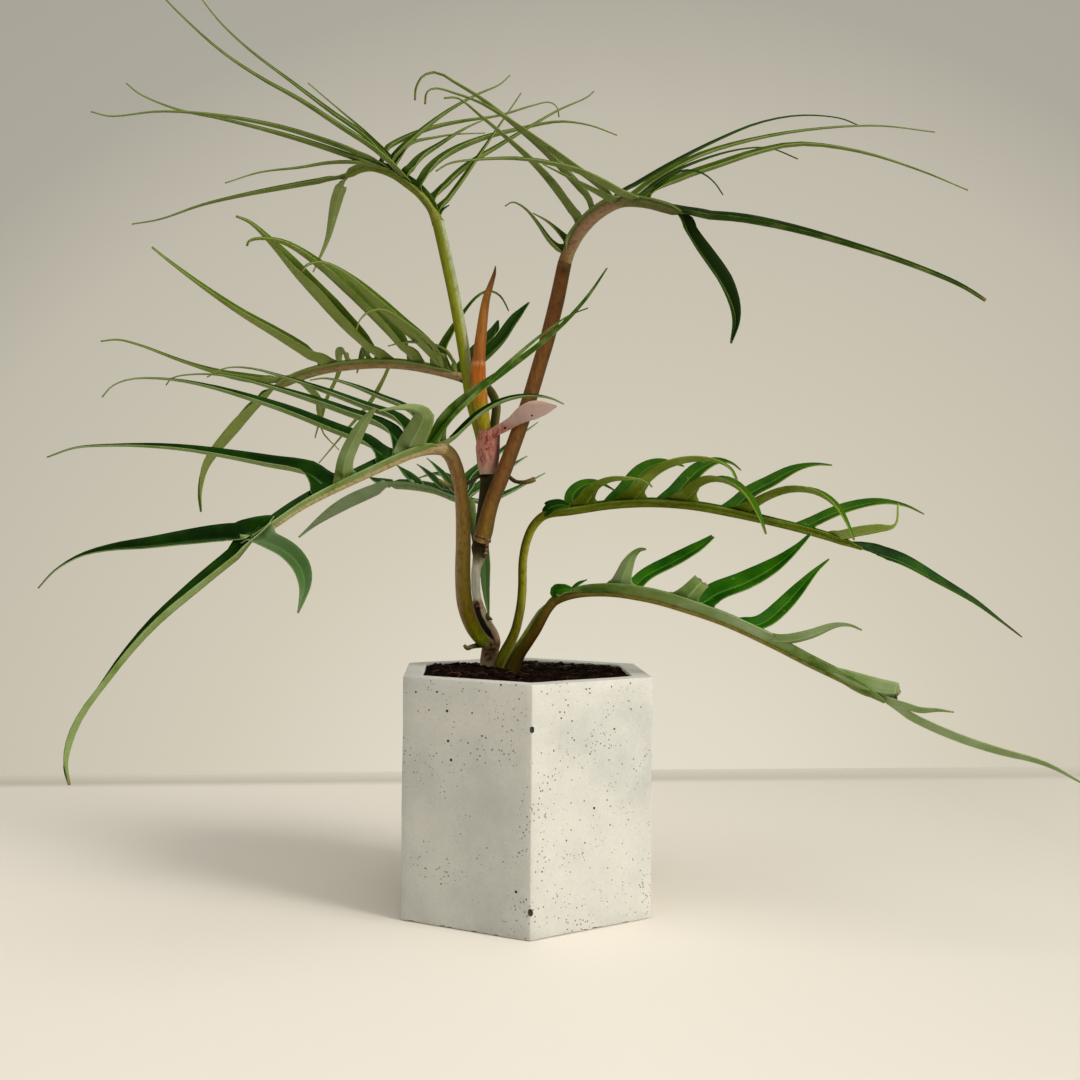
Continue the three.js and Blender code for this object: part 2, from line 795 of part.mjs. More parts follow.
const BACK = {
  facing: [-0.1, -0.35, 0.93],
  petiole: {
    route: [[479, 556, -21], [478, 549, -26], [475, 532, -32], [472, 515, -40], [470, 503, -47]],
    widths: [8, 9, 9, 9, 9],
    stepsPerSpan: 2,
  },
  rachis: {
    route: [[470, 503, -47], [455, 497, -58], [435, 489, -72], [412, 485, -84], [390, 484, -95]],
    widths: [9, 11, 11, 11, 10],
  },
  leaflets: [
    {
      width: 12,
      route: [[390, 484, -95], [370, 492, -103], [345, 504, -111], [320, 520, -118], [299, 537, -123]],
    },
    { width: 8, route: [[392, 484, -94], [380, 481, -102], [369, 477, -110]] },
    { width: 8, route: [[420, 486, -80], [408, 474, -85], [397, 465, -90]] },
    { width: 6, route: [[448, 494, -63], [436, 480, -66], [424, 469, -70], [417, 464, -73]] },
    { width: 6, route: [[458, 498, -56], [448, 480, -60], [436, 466, -66], [427, 458, -70]] },
    { width: 5, route: [[445, 493, -66], [450, 478, -80], [435, 473, -92], [415, 479, -102]] },
    { width: 7, route: [[462, 500, -53], [466, 478, -60], [480, 464, -66], [492, 452, -74]] },
    {
      width: 8,
      route: [[464, 501, -52], [474, 490, -58], [490, 478, -64], [512, 465, -70], [527, 456, -76]],
    },
    {
      width: 5,
      route: [[466, 501, -50], [488, 500, -58], [510, 491, -64], [530, 481, -70], [545, 473, -74]],
    },
    { width: 5, route: [[463, 500, -52], [480, 470, -64], [510, 443, -72], [538, 422, -80]] },
    {
      width: 9,
      route: [[466, 502, -51], [481, 530, -52], [485, 560, -52], [487, 590, -50], [489, 617, -48]],
    },
  ],
};

// Pot: hexagonal shell with a closed floor and slightly broken edges, one corner to the front
const HEX_SIDES = 6;
const innerRadius = POT_CORNER_RADIUS - POT_WALL / Math.cos(Math.PI / HEX_SIDES);

function turned(profile, sides) {
  const points = profile.map(([radius, height]) => new THREE.Vector2(radius, height));
  return new THREE.LatheGeometry(points, sides).rotateX(Math.PI / 2);
}

function potSolid() {
  const outer = POT_CORNER_RADIUS;
  const edge = POT_CHAMFER;
  return toSolid(turned([
    [0, 0], [outer - edge, 0], [outer, edge], [outer, POT_HEIGHT - edge], [outer - edge, POT_HEIGHT],
    [innerRadius + edge, POT_HEIGHT], [innerRadius, POT_HEIGHT - edge], [innerRadius, POT_BASE], [0, POT_BASE],
  ], HEX_SIDES).rotateZ(POT_TURN));
}

// Compost: fills the pot to just under the rim, with a lumpy top
function hexReach(angle) {
  const sector = (2 * Math.PI) / HEX_SIDES;
  const fromMiddle = (((angle % sector) + sector) % sector) - sector / 2;
  return Math.cos(sector / 2) / Math.cos(fromMiddle);
}

function lump(x, y) {
  return SOIL_BUMP * (Math.sin(x * 0.31 + 1.7 * Math.sin(y * 0.19)) * Math.cos(y * 0.27 + 0.6) * 0.6
    + Math.sin(x * 0.83 + y * 0.71) * 0.4);
}

function soilSolid() {
  const radius = innerRadius - GAP / Math.cos(Math.PI / HEX_SIDES);
  const top = POT_HEIGHT - SOIL_DROP;
  const rings = SOIL_RINGS.map((share) => [radius * share, top]);
  const geometry = turned(
    [[0, POT_BASE + GAP], [radius, POT_BASE + GAP], [radius, top], ...rings, [0, top]],
    SOIL_SEGMENTS,
  );
  const position = geometry.attributes.position;
  for (let i = 0; i < position.count; i += 1) {
    const reach = hexReach(Math.atan2(position.getX(i), -position.getY(i)));
    const x = position.getX(i) * reach;
    const y = position.getY(i) * reach;
    const lift = position.getZ(i) > POT_BASE * 2 ? lump(x, y) : 0;
    position.setXYZ(i, x, y, position.getZ(i) + lift);
  }
  return toSolid(geometry.rotateZ(POT_TURN));
}

// Dried sheath: a papery wrap, open at the back, round the bases of the petiole and the new leaf,
// with its torn end standing out as a flag to the right
const SHEATH_ROUTE = [[486.5, 480, -17], [486, 465, -16.9], [485.3, 450, -16.8], [484.6, 436, -16.8]];
const SHEATH_RADII = [5.1, 5.3, 5.6, 6];
const SHEATH_FLAG = {
  width: 24,
  profile: [0.7, 1, 1, 0.85, 0.5, 0.2],
  route: [
    [492, 452, -10.9], [499, 440, -10], [509, 425, -7.3], [522, 413, -6], [537, 407, -6],
    [553, 405, -7],
  ],
};

function arcSection(radius, thickness, openDegrees, steps) {
  const half = THREE.MathUtils.degToRad(180 - openDegrees / 2);
  const at = (i, r) => {
    const angle = -half + (2 * half * i) / steps;
    return [r * Math.sin(angle), r * Math.cos(angle)];
  };
  const outside = Array.from({ length: steps + 1 }, (_, i) => at(i, radius));
  const inside = Array.from({ length: steps + 1 }, (_, i) => at(steps - i, radius - thickness));
  return polygon([...outside, ...inside]);
}

function sheathSolid() {
  const frames = rodFrames(SHEATH_ROUTE, 1);
  const section = arcSection(SHEATH_RADII[0], SHEATH_THICKNESS, SHEATH_OPEN_ANGLE, 8);
  const flare = (i) => SHEATH_RADII[i] / SHEATH_RADII[0];
  const wrap = carry(section, frames, (x, y, i) => ({ side: x * flare(i), normal: y * flare(i) }));
  const points = SHEATH_FLAG.route.map(place);
  const curve = new THREE.CatmullRomCurve3(points);
  const flag = leaflet(SHEATH_FLAG, curve, new THREE.Vector3(-0.2, -1, 0.2).normalize());
  return wrap.add(flag);
}

// Assembly: whatever grows from the stem is trimmed to stand a small gap off it
const stem = AERIAL_ROOTS.reduce((whole, root) => whole.add(rod({ ...root, sides: 6 })), rod(STEM));
const stemClearance = AERIAL_ROOTS.reduce(
  (whole, root) => whole.add(rod({ ...root, sides: 6 }, GAP)),
  rod(STEM, GAP),
);

const LEAVES = {
  leaf_upper_left: UPPER_LEFT,
  leaf_upper_right: UPPER_RIGHT,
  leaf_middle_left: MIDDLE_LEFT,
  leaf_front_left: FRONT_LEFT,
  leaf_middle_right: MIDDLE_RIGHT,
  leaf_lower_right: LOWER_RIGHT,
  leaf_back: BACK,
};

const plant = new THREE.Group();

function addPiece(name, solid, colour, roughness) {
  const material = new THREE.MeshStandardMaterial({ color: colour, roughness, metalness: 0 });
  const mesh = new THREE.Mesh(toGeometry(solid), material);
  mesh.name = name;
  plant.add(mesh);
}

const soilHoles = [rod(MIDDLE_RIGHT.petiole, GAP), rod(LOWER_RIGHT.petiole, GAP)];
const soil = soilHoles.reduce((whole, hole) => whole.subtract(hole), soilSolid().subtract(stemClearance));

addPiece('pot', potSolid(), 0xc9c4b4, 0.85);
addPiece('potting_soil', soil, 0x3a2a20, 1);
addPiece('stem', stem, 0x7d7a5a, 0.8);
addPiece('new_leaf_spike', rod(NEW_LEAF_SPIKE).subtract(stemClearance), 0xb06a28, 0.5);
addPiece('dried_sheath', largestBody(sheathSolid().subtract(stemClearance)), 0xc98a78, 0.7);

for (const [name, leaf] of Object.entries(LEAVES)) {
  const petiole = largestBody(rod(leaf.petiole).subtract(stemClearance));
  const blade = largestBody(leafBlade(leaf).subtract(rod(leaf.petiole, GAP)));
  addPiece(`${name}_petiole`, petiole, 0x7c8238, 0.5);
  addPiece(`${name}_blade`, blade, 0x3f6b24, 0.45);
}

export default plant;
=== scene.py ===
# A potted fishbone philodendron: seven deeply cut leaves, a rolled new leaf and a bare lower stem,
# growing in bark compost in a hexagonal concrete pot. Metres, +Z up, front towards -Y.
import math
import random

import bmesh
import bpy
from mathutils import Matrix, Vector


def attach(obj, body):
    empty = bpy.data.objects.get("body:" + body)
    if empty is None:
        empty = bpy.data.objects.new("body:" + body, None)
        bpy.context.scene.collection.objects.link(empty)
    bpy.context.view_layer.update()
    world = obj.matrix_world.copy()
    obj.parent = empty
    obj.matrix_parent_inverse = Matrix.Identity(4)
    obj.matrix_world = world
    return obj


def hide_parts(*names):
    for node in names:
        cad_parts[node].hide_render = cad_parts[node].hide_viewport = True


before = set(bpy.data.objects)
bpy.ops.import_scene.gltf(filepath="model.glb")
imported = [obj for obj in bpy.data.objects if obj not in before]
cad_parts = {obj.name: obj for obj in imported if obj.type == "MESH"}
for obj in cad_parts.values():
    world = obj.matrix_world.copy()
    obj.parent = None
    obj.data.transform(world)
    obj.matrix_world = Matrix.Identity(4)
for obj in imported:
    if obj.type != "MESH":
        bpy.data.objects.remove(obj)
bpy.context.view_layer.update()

# Camera: level, a little to the right of the pot's axis and at the height of the middle leaves. The
# plant's routes are read off this view, which is 1080 units square.
MM = 0.001
VIEW_CENTRE = 540
VIEW_FOCAL = 1290
VIEW_DISTANCE = 566
VIEW_HEIGHT = 157.5
VIEW_SIDE = 6
VIEW_ROLL = math.radians(0.53)
SENSOR_WIDTH = 36

lens = bpy.data.cameras.new("front_view")
lens.sensor_width = SENSOR_WIDTH
lens.lens = SENSOR_WIDTH * VIEW_FOCAL / (2 * VIEW_CENTRE)
camera = bpy.data.objects.new("front_view", lens)
camera.location = (VIEW_SIDE * MM, -VIEW_DISTANCE * MM, VIEW_HEIGHT * MM)
camera.rotation_euler = (math.radians(90), -VIEW_ROLL, 0)
bpy.context.collection.objects.link(camera)
bpy.context.scene.camera = camera
bpy.context.scene.view_settings.view_transform = "Standard"


# Concrete pot: one hollow hexagonal casting of fine pale concrete, taken from a mould, with air pits
# on its faces, a worn front edge and a slightly crumbled foot. One corner stands to the front.
POT_CORNER_RADIUS = 60 * MM
POT_HEIGHT = 100.6 * MM
POT_WALL = 8 * MM
POT_BASE = 10 * MM
POT_TURN = math.radians(3.4)
POT_EDGE = 0.8 * MM
POT_FACE_CUTS = 19
POT_APOTHEM = POT_CORNER_RADIUS * math.cos(math.pi / 6)
FACE_TURNS = {"left": POT_TURN - math.radians(120), "right": POT_TURN - math.radians(60)}


def place(across, down, forward=0.0):
    """The point seen at across, down in the front view, forward millimetres in front of the axis."""
    right, below = across - VIEW_CENTRE, down - VIEW_CENTRE
    x = right * math.cos(VIEW_ROLL) + below * math.sin(VIEW_ROLL)
    z = below * math.cos(VIEW_ROLL) - right * math.sin(VIEW_ROLL)
    reach = (VIEW_DISTANCE - forward) / VIEW_FOCAL
    return Vector((VIEW_SIDE + x * reach, -forward, VIEW_HEIGHT - z * reach)) * MM


def only(*pieces):
    bpy.ops.object.select_all(action="DESELECT")
    for piece in pieces:
        piece.select_set(True)
    bpy.context.view_layer.objects.active = pieces[0]


def pick(piece, kind, wanted):
    """Selects the vertices, edges or faces of the piece in edit mode that are wanted."""
    bpy.ops.mesh.select_mode(type=kind)
    bpy.ops.mesh.select_all(action="DESELECT")
    shape = bmesh.from_edit_mesh(piece.data)
    for part in {"VERT": shape.verts, "EDGE": shape.edges, "FACE": shape.faces}[kind]:
        if wanted(part):
            part.select_set(True)
    shape.select_flush_mode()
    bmesh.update_edit_mesh(piece.data)


def finish_with(piece, kind, **settings):
    """Adds a modifier to the piece and applies it."""
    modifier = piece.modifiers.new(kind.lower(), kind)
    for name, value in settings.items():
        setattr(modifier, name, value)
    only(piece)
    bpy.ops.object.modifier_apply(modifier=modifier.name)


def settle(piece, name):
    """Names the piece and moves its place, turn and scale into its mesh."""
    piece.name = piece.data.name = name
    only(piece)
    bpy.ops.object.transform_apply(location=True, rotation=True, scale=True)


def roughen(piece, name, size, depth, **settings):
    """Pushes the surface of the piece in and out by the depth, in soft lumps of the size."""
    texture = bpy.data.textures.new(name, "CLOUDS")
    texture.noise_scale = size
    texture.noise_depth = 3
    finish_with(piece, "DISPLACE", texture=texture, strength=depth, **settings)


def joined(pieces, name):
    only(*pieces)
    bpy.ops.object.join()
    pieces[0].name = pieces[0].data.name = name
    return pieces[0]


def copied(blank, matrix=None):
    """A copy of the blank with its own mesh, moved by the matrix."""
    piece = bpy.data.objects.new(blank.name, blank.data.copy())
    bpy.context.collection.objects.link(piece)
    if matrix is not None:
        piece.data.transform(matrix)
    return piece


def dropped(*blanks):
    for blank in blanks:
        bpy.data.meshes.remove(blank.data)


def paint(red, green, blue):
    """A colour given as it is read off a screen, 0 to 255, as Blender wants it."""
    return [*(((c / 255 + 0.055) / 1.055) ** 2.4 if c > 10 else c / 3295 for c in (red, green, blue)), 1]


class Finish:
    """A material that is put together node by node round one Principled shader."""

    def __init__(self, name, **shader):
        self.material = bpy.data.materials.new(name)
        self.material.use_nodes = True
        self.tree = self.material.node_tree
        self.shader = self.tree.nodes["Principled BSDF"]
        self.coordinates = self.node("TexCoord")
        self.set(self.shader, shader)

    def set(self, node, inputs):
        for name, value in inputs.items():
            key = int(name[5:]) if name.startswith("slot_") else name.replace("_", " ")
            socket = node.inputs[key]
            if isinstance(value, bpy.types.NodeSocket):
                self.tree.links.new(value, socket)
            else:
                socket.default_value = value

    def node(self, kind, settings=None, **inputs):
        node = self.tree.nodes.new("ShaderNode" + kind)
        for name, value in (settings or {}).items():
            setattr(node, name, value)
        self.set(node, inputs)
        return node

    def coat(self, colour, relief=None):
        """Gives the shader its colour and, where it has one, its relief."""
        self.set(self.shader, {"Base Color": colour})
        if relief is not None:
            self.set(self.shader, {"Normal": relief})

    def part(self, kind, axis):
        """The x, y or z, as axis 0, 1 or 2, of the object's, normal's or UV's coordinates."""
        return self.node("SeparateXYZ", Vector=self.coordinates.outputs[kind]).outputs[axis]

    def attribute(self, name):
        return self.node("Attribute", {"attribute_name": name}).outputs["Fac"]

    def level(self, value, low, high):
        """The value's place between low and high, from 0 to 1."""
        return self.node("MapRange", Value=value, From_Min=low, From_Max=high).outputs[0]

    def noise(self, scale, detail=4, rough=0.6, stretch=(1, 1, 1)):
        vector = self.node("Mapping", Vector=self.coordinates.outputs["Object"], Scale=stretch).outputs[0]
        cloud = self.node("TexNoise", Vector=vector, Scale=scale, Detail=detail, Roughness=rough)
        return cloud.outputs["Fac"]

    def ramp(self, value, *stops):
        """A value turned to colours: each stop is a position and a colour or a grey."""
        node = self.node("ValToRGB", Fac=value)
        elements = node.color_ramp.elements
        while len(elements) < len(stops):
            elements.new(0.5)
        for element, (position, colour) in zip(elements, stops):
            element.position = position
            element.color = colour if isinstance(colour, list) else (colour, colour, colour, 1)
        return node.outputs[0]

    def mix(self, share, first, second, blend="MIX"):
        return self.node("Mix", {"data_type": "RGBA", "blend_type": blend},
                         slot_0=share, slot_6=first, slot_7=second).outputs[2]

    def math(self, operation, first, second=0.0):
        return self.node("Math", {"operation": operation}, slot_0=first, slot_1=second).outputs[0]

    def bump(self, height, distance, strength=1.0, under=None):
        node = self.node("Bump", Height=height, Distance=distance, Strength=strength)
        if under is not None:
            self.set(node, {"Normal": under})
        return node.outputs[0]


def dress(piece, *finishes, slot, replaces=()):
    """Gives the piece its finishes, puts it under the root body and hides the frame's parts that it
    replaces.
    """
    while len(piece.data.materials) < len(finishes):
        piece.data.materials.append(None)
    for i, finish in enumerate(finishes):
        piece.data.materials[i] = finish.material
    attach(piece, "root")
    if replaces:
        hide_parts(*replaces)


bpy.ops.mesh.primitive_cylinder_add(
    vertices=6, radius=POT_CORNER_RADIUS, depth=POT_HEIGHT,
    location=(0, 0, POT_HEIGHT / 2), rotation=(0, 0, POT_TURN))
pot = bpy.context.object
settle(pot, "concrete_pot")
bpy.ops.object.mode_set(mode="EDIT")
pick(pot, "FACE", lambda face: face.normal.z > 0.9)
bpy.ops.mesh.inset(thickness=POT_WALL)
bpy.ops.mesh.extrude_region_move(TRANSFORM_OT_translate={"value": (0, 0, POT_BASE - POT_HEIGHT)})
pick(pot, "FACE", lambda face: len(face.verts) == 4)
bpy.ops.mesh.subdivide(number_cuts=POT_FACE_CUTS)
bpy.ops.object.mode_set(mode="OBJECT")
finish_with(pot, "BEVEL", width=POT_EDGE, segments=2, limit_method="ANGLE", angle_limit=math.radians(30))
roughen(pot, "cast_face", 20 * MM, 0.5 * MM, mid_level=0.55)

concrete = Finish("pale_concrete", Roughness=0.88, Specular_IOR_Level=0.2)
clouding = concrete.noise(22, 5, 0.65)
speckle = concrete.noise(900, 2, 0.7)
cells = concrete.node("TexVoronoi", Vector=concrete.coordinates.outputs["Object"], Scale=560)
patches = concrete.noise(55, 2)
crowded = concrete.math("MULTIPLY", concrete.ramp(patches, (0.4, 0.0), (0.62, 1.0)), 0.17)
pinholes = concrete.math("LESS_THAN", cells.outputs["Distance"], concrete.math("ADD", crowded, 0.03))
cast = concrete.ramp(clouding, (0.25, paint(176, 176, 169)), (0.5, paint(198, 197, 188)),
                     (0.75, paint(211, 208, 198)))
grit = concrete.mix(0.12, cast, concrete.ramp(speckle, (0.3, 0.35), (0.7, 1.0)), "MULTIPLY")
# painted shade: the pinholes are darkened, as their depth would shade them
shaded_pinholes = concrete.mix(concrete.math("MULTIPLY", pinholes, 0.8), grit, paint(84, 80, 70))
grain = concrete.bump(concrete.noise(260, 5, 0.7), 0.25 * MM, 0.5)
concrete.coat(shaded_pinholes, concrete.bump(pinholes, -0.3 * MM, 0.8, grain))
# painted shade: a dark finish for the insides of the pits and of the largest edge chips
pit_shade = Finish("pit_shade", Roughness=0.95, Specular_IOR_Level=0.1, Base_Color=paint(70, 66, 56))

# air pits and chips: rough little pebbles cut out of the casting. The pits and the largest front-edge
# chips take the dark pit_shade finish inside, which is painted shade.
PITS_LEFT = [
    (416, 692, 1.5), (437, 692, 1.5), (443, 694, 1), (479, 691, 1), (486, 692, 1), (501, 685, 1.5),
    (516, 685, 1), (519, 699, 1), (447, 711, 2), (429, 710, 1.2), (418, 711, 1), (472, 713, 1.3),
    (454, 722, 1), (448, 741, 2), (468, 743, 1.2), (482, 736, 1.4), (486, 738, 1), (451, 760, 2),
    (487, 848, 1), (516, 892, 2), (425, 868, 1), (441, 884, 1.2), (462, 872, 0.9), (503, 862, 1),
]
PITS_RIGHT = [
    (560, 712, 1.2), (566, 700, 1.2), (572, 721, 1.3), (553, 705, 1), (561, 718, 1), (614, 729, 1.4),
    (606, 717, 1), (590, 754, 1.2), (554, 751, 1.2), (586, 746, 1), (572, 738, 1), (568, 733, 1),
    (592, 736, 1), (609, 748, 1), (609, 760, 1), (634, 759, 1), (634, 769, 1), (622, 764, 1),
    (568, 767, 1), (594, 808, 1.8), (572, 780, 1), (548, 777, 1), (607, 791, 1), (584, 801, 1),
    (571, 803, 1), (580, 820, 1), (590, 693, 1.2), (628, 701, 1), (641, 707, 1), (640, 766, 1),
    (571, 830, 1), (570, 872, 0.9), (590, 868, 0.8), (612, 880, 0.9), (600, 890, 0.8), (622, 868, 0.8),
]
FRONT_EDGE_CHIPS = [(531, 730, 1.9), (529, 810, 1.3), (529.5, 913, 2.2), (531, 764, 0.9), (529, 861, 1)]
PIT_SIZE = 0.31 * MM
EDGE_CHIP_SIZE = 0.6
# front-edge chips larger than this are painted dark inside as shade
SHADED_CHIP = 1.5
OTHER_PITS = 150
OTHER_PITS_REACH = 27 * MM
OTHER_PITS_FACES = (-1, -1, 0, 1, 2, 3)
OTHER_PITS_SIZES = (0.5, 1.3)
OTHER_PITS_CROWDING = 1.5
HEX_SIDES = 6
HEX_STEP = math.pi / 3
FULL_TURN = 6.28
# along the foot and the rim: how many chips, their height, their least and greatest size, their stretch
CHIP_ROWS = [
    (60, -0.1 * MM, (0.5, 1.2), (1.6, 1.6, 0.8)),
    (14, POT_HEIGHT + 0.2 * MM, (0.4, 0.8), (1.4, 1.4, 0.8)),
]
random.seed(7)

bpy.ops.mesh.primitive_ico_sphere_add(subdivisions=2, radius=1)
pebble = bpy.context.object
bpy.ops.object.mode_set(mode="EDIT")
bpy.ops.mesh.select_all(action="SELECT")
bpy.ops.transform.vertex_random(offset=0.22, uniform=0.2, seed=3)
bpy.ops.object.mode_set(mode="OBJECT")
for finish in (concrete, pit_shade):
    pebble.data.materials.append(finish.material)
    pot.data.materials.append(finish.material)


def pebble_at(point, size, stretch=(1, 1, 1), shade=0):
    turn = Matrix.Rotation(random.uniform(0, FULL_TURN), 4, "Z")
    scale = Matrix.Diagonal((*(size * part for part in stretch), 1))
    piece = copied(pebble, Matrix.Translation(point) @ scale @ turn)
    piece.data.polygons.foreach_set("material_index", [shade] * len(piece.data.polygons))
    return piece


def bearing(turn):
    """The level direction that is turned so far from +X."""
    return Vector((math.cos(turn), math.sin(turn), 0))


def on_face(across, down, turn):
    """The point of the pot's flat face that is seen at across, down."""
    outward = bearing(turn)
    eye = camera.location
    ray = place(across, down) - eye
    reach = (POT_APOTHEM - eye.dot(outward)) / ray.dot(outward)
    return eye + ray * reach


def on_edge(height, corner, share=0.0):
    """A point of the outer edge at a height: at a corner, or a share of the way to the next."""
    ends = [Vector((math.sin(turn), -math.cos(turn), 0)) * POT_CORNER_RADIUS
            for turn in (POT_TURN + corner * HEX_STEP, POT_TURN + (corner + 1) * HEX_STEP)]
    return ends[0].lerp(ends[1], share) + Vector((0, 0, height))


cutters = [pebble_at(on_face(x, y, FACE_TURNS[side]), PIT_SIZE * size, shade=1)
           for side, pits in (("left", PITS_LEFT), ("right", PITS_RIGHT)) for x, y, size in pits]
for across, down, size in FRONT_EDGE_CHIPS:
    height = place(across, down, POT_CORNER_RADIUS / MM).z
    cutters.append(pebble_at(on_edge(height, 0), size * EDGE_CHIP_SIZE * MM, (1, 1, 1.3),
                             shade=int(size > SHADED_CHIP)))
for count, height, sizes, stretch in CHIP_ROWS:
    for _ in range(count):
        point = on_edge(height, random.randrange(HEX_SIDES), random.random())
        cutters.append(pebble_at(point, random.uniform(*sizes) * MM, stretch))
for _ in range(OTHER_PITS):
    turn = POT_TURN + random.choice(OTHER_PITS_FACES) * HEX_STEP
    side = random.uniform(-OTHER_PITS_REACH, OTHER_PITS_REACH)
    point = bearing(turn) * POT_APOTHEM + Vector((-math.sin(turn), math.cos(turn), 0)) * side
    height = POT_HEIGHT * (1 - random.uniform(0.03, 0.97) ** OTHER_PITS_CROWDING)
    size = PIT_SIZE * random.uniform(*OTHER_PITS_SIZES)
    cutters.append(pebble_at(point + Vector((0, 0, height)), size, shade=1))
pits = joined(cutters, "air_pits")
finish_with(pot, "BOOLEAN", operation="DIFFERENCE", object=pits, solver="EXACT", use_self=True)
dropped(pits, pebble)
only(pot)
bpy.ops.object.shade_smooth_by_angle(angle=math.radians(35))
dress(pot, concrete, pit_shade, slot="concrete", replaces=["pot"])


# Compost: damp bark and coir filling the pot to just under its rim, settled into a lumpy top, with
# loose bark chips and coir fibres lying on it and a pale mineral crust towards the back.
SOIL_TOP = 99.8 * MM
SOIL_REACH = POT_APOTHEM - POT_WALL - 0.3 * MM
SOIL_FLOOR = POT_BASE + 0.3 * MM
SOIL_CELLS = 84
SOIL_SPAN = 104 * MM
SOIL_SIDE_TURNS = [POT_TURN + side * HEX_STEP for side in range(HEX_SIDES)]
SOIL_SCATTER = 50 * MM
ABOVE_ALL = 0.12
CHIP_REACH = SOIL_REACH - 2.2 * MM
BARK_CHIPS = 420
CHIP_SIZES = (1.2, 4.2)
CHIP_TILT = 0.3
# width and thickness of a chip one unit long, and the seed of its roughness
BARK_SHAPES = [(0.6, 0.22, 1), (0.38, 0.2, 4), (0.8, 0.4, 9)]
COIR_FIBRES = 46
FIBRE_REACH = SOIL_REACH - 6 * MM
FIBRE_RADIUS = 0.11 * MM
FIBRE_STEPS = (1.2, 2.8)
FIBRE_RISES = (0.1, 0.9)
FIBRE_SINK = 0.3 * MM
FIBRE_SWERVE = 0.4

bpy.ops.mesh.primitive_grid_add(
    x_subdivisions=SOIL_CELLS, y_subdivisions=SOIL_CELLS, size=SOIL_SPAN, location=(0, 0, SOIL_TOP))
compost = bpy.context.object
settle(compost, "compost_bed")
roughen(compost, "compost_heaps", 18 * MM, 2.4 * MM, direction="Z")
roughen(compost, "compost_crumbs", 2.8 * MM, 1.5 * MM, direction="Z")
bpy.ops.object.mode_set(mode="EDIT")
for turn in SOIL_SIDE_TURNS:
    outward = bearing(turn)
    bpy.ops.mesh.select_all(action="SELECT")
    bpy.ops.mesh.bisect(plane_co=outward * SOIL_REACH, plane_no=outward, clear_outer=True)
pick(compost, "EDGE", lambda edge: edge.is_boundary)
bpy.ops.mesh.extrude_edges_move(TRANSFORM_OT_translate={"value": (0, 0, SOIL_FLOOR - SOIL_TOP)})
bpy.ops.transform.resize(value=(1, 1, 0), center_override=(0, 0, SOIL_FLOOR))
bpy.ops.mesh.edge_face_add()
bpy.ops.mesh.select_all(action="SELECT")
bpy.ops.mesh.normals_make_consistent(inside=False)
bpy.ops.object.mode_set(mode="OBJECT")


def on_compost(reach):
    """A random point of the compost's top within the reach, with the surface's normal."""
    while True:
        x, y = (random.uniform(-SOIL_SCATTER, SOIL_SCATTER) for _ in range(2))
        if all(x * math.cos(turn) + y * math.sin(turn) < reach for turn in SOIL_SIDE_TURNS):
            _, point, normal, _ = compost.ray_cast(Vector((x, y, ABOVE_ALL)), Vector((0, 0, -1)))
            return point, normal


def bark_blank(width, thickness, seed):
    bpy.ops.mesh.primitive_cube_add(size=1, scale=(1, width, thickness))
    blank = bpy.context.object
    settle(blank, "bark_chip")
    bpy.ops.object.mode_set(mode="EDIT")
    bpy.ops.mesh.select_all(action="SELECT")
    bpy.ops.mesh.subdivide(number_cuts=1)
    bpy.ops.transform.vertex_random(offset=0.13, uniform=0.3, seed=seed)
    bpy.ops.object.mode_set(mode="OBJECT")
    return blank


bark_blanks = [bark_blank(*shape) for shape in BARK_SHAPES]
chips = []
for _ in range(BARK_CHIPS):
    point, normal = on_compost(CHIP_REACH)
    lie = normal.to_track_quat("Z", "X").to_matrix().to_4x4()
    turn = Matrix.Rotation(random.uniform(0, FULL_TURN), 4, "Z")
    tip = Matrix.Rotation(random.gauss(0, CHIP_TILT), 4, "X")
    size = Matrix.Scale(random.uniform(*CHIP_SIZES) * MM, 4)
    chips.append(copied(random.choice(bark_blanks), Matrix.Translation(point) @ lie @ turn @ tip @ size))
bark = joined(chips, "bark_chips")
dropped(*bark_blanks)

fibres = bpy.data.curves.new("coir_fibres", "CURVE")
fibres.dimensions = "3D"
fibres.bevel_depth = FIBRE_RADIUS
fibres.bevel_resolution = 1
fibres.resolution_u = 3
fibres.use_fill_caps = True
for _ in range(COIR_FIBRES):
    point, _ = on_compost(FIBRE_REACH)
    heading = random.uniform(0, FULL_TURN)
    spline = fibres.splines.new("BEZIER")
    spline.bezier_points.add(3)
    for step, knot in enumerate(spline.bezier_points):
        heading += random.uniform(-FIBRE_SWERVE, FIBRE_SWERVE)
        rise = random.uniform(*FIBRE_RISES) * MM if step in (1, 2) else -FIBRE_SINK
        knot.co = point + Vector((0, 0, rise))
        knot.handle_left_type = knot.handle_right_type = "AUTO"
        point = point + bearing(heading) * random.uniform(*FIBRE_STEPS) * MM
coir = bpy.data.objects.new("coir_fibres", fibres)
bpy.context.collection.objects.link(coir)
only(coir)
bpy.ops.object.convert(target="MESH")

damp = Finish("damp_compost", Roughness=0.95, Specular_IOR_Level=0.02)
crumb = damp.ramp(damp.noise(420, 5, 0.7), (0.35, paint(5, 1, 0)), (0.6, paint(24, 9, 3)),
                  (0.78, paint(52, 25, 12)))
back = damp.ramp(damp.part("Object", 1), (0.015, 0.0), (0.045, 1.0))
crust = damp.math("MULTIPLY", damp.ramp(damp.noise(170, 4, 0.7), (0.5, 0.0), (0.6, 1.0)), back)
damp.coat(damp.mix(crust, crumb, paint(120, 116, 104)), damp.bump(damp.noise(600, 4, 0.7), 0.6 * MM))
dress(compost, damp, slot="compost", replaces=["potting_soil"])

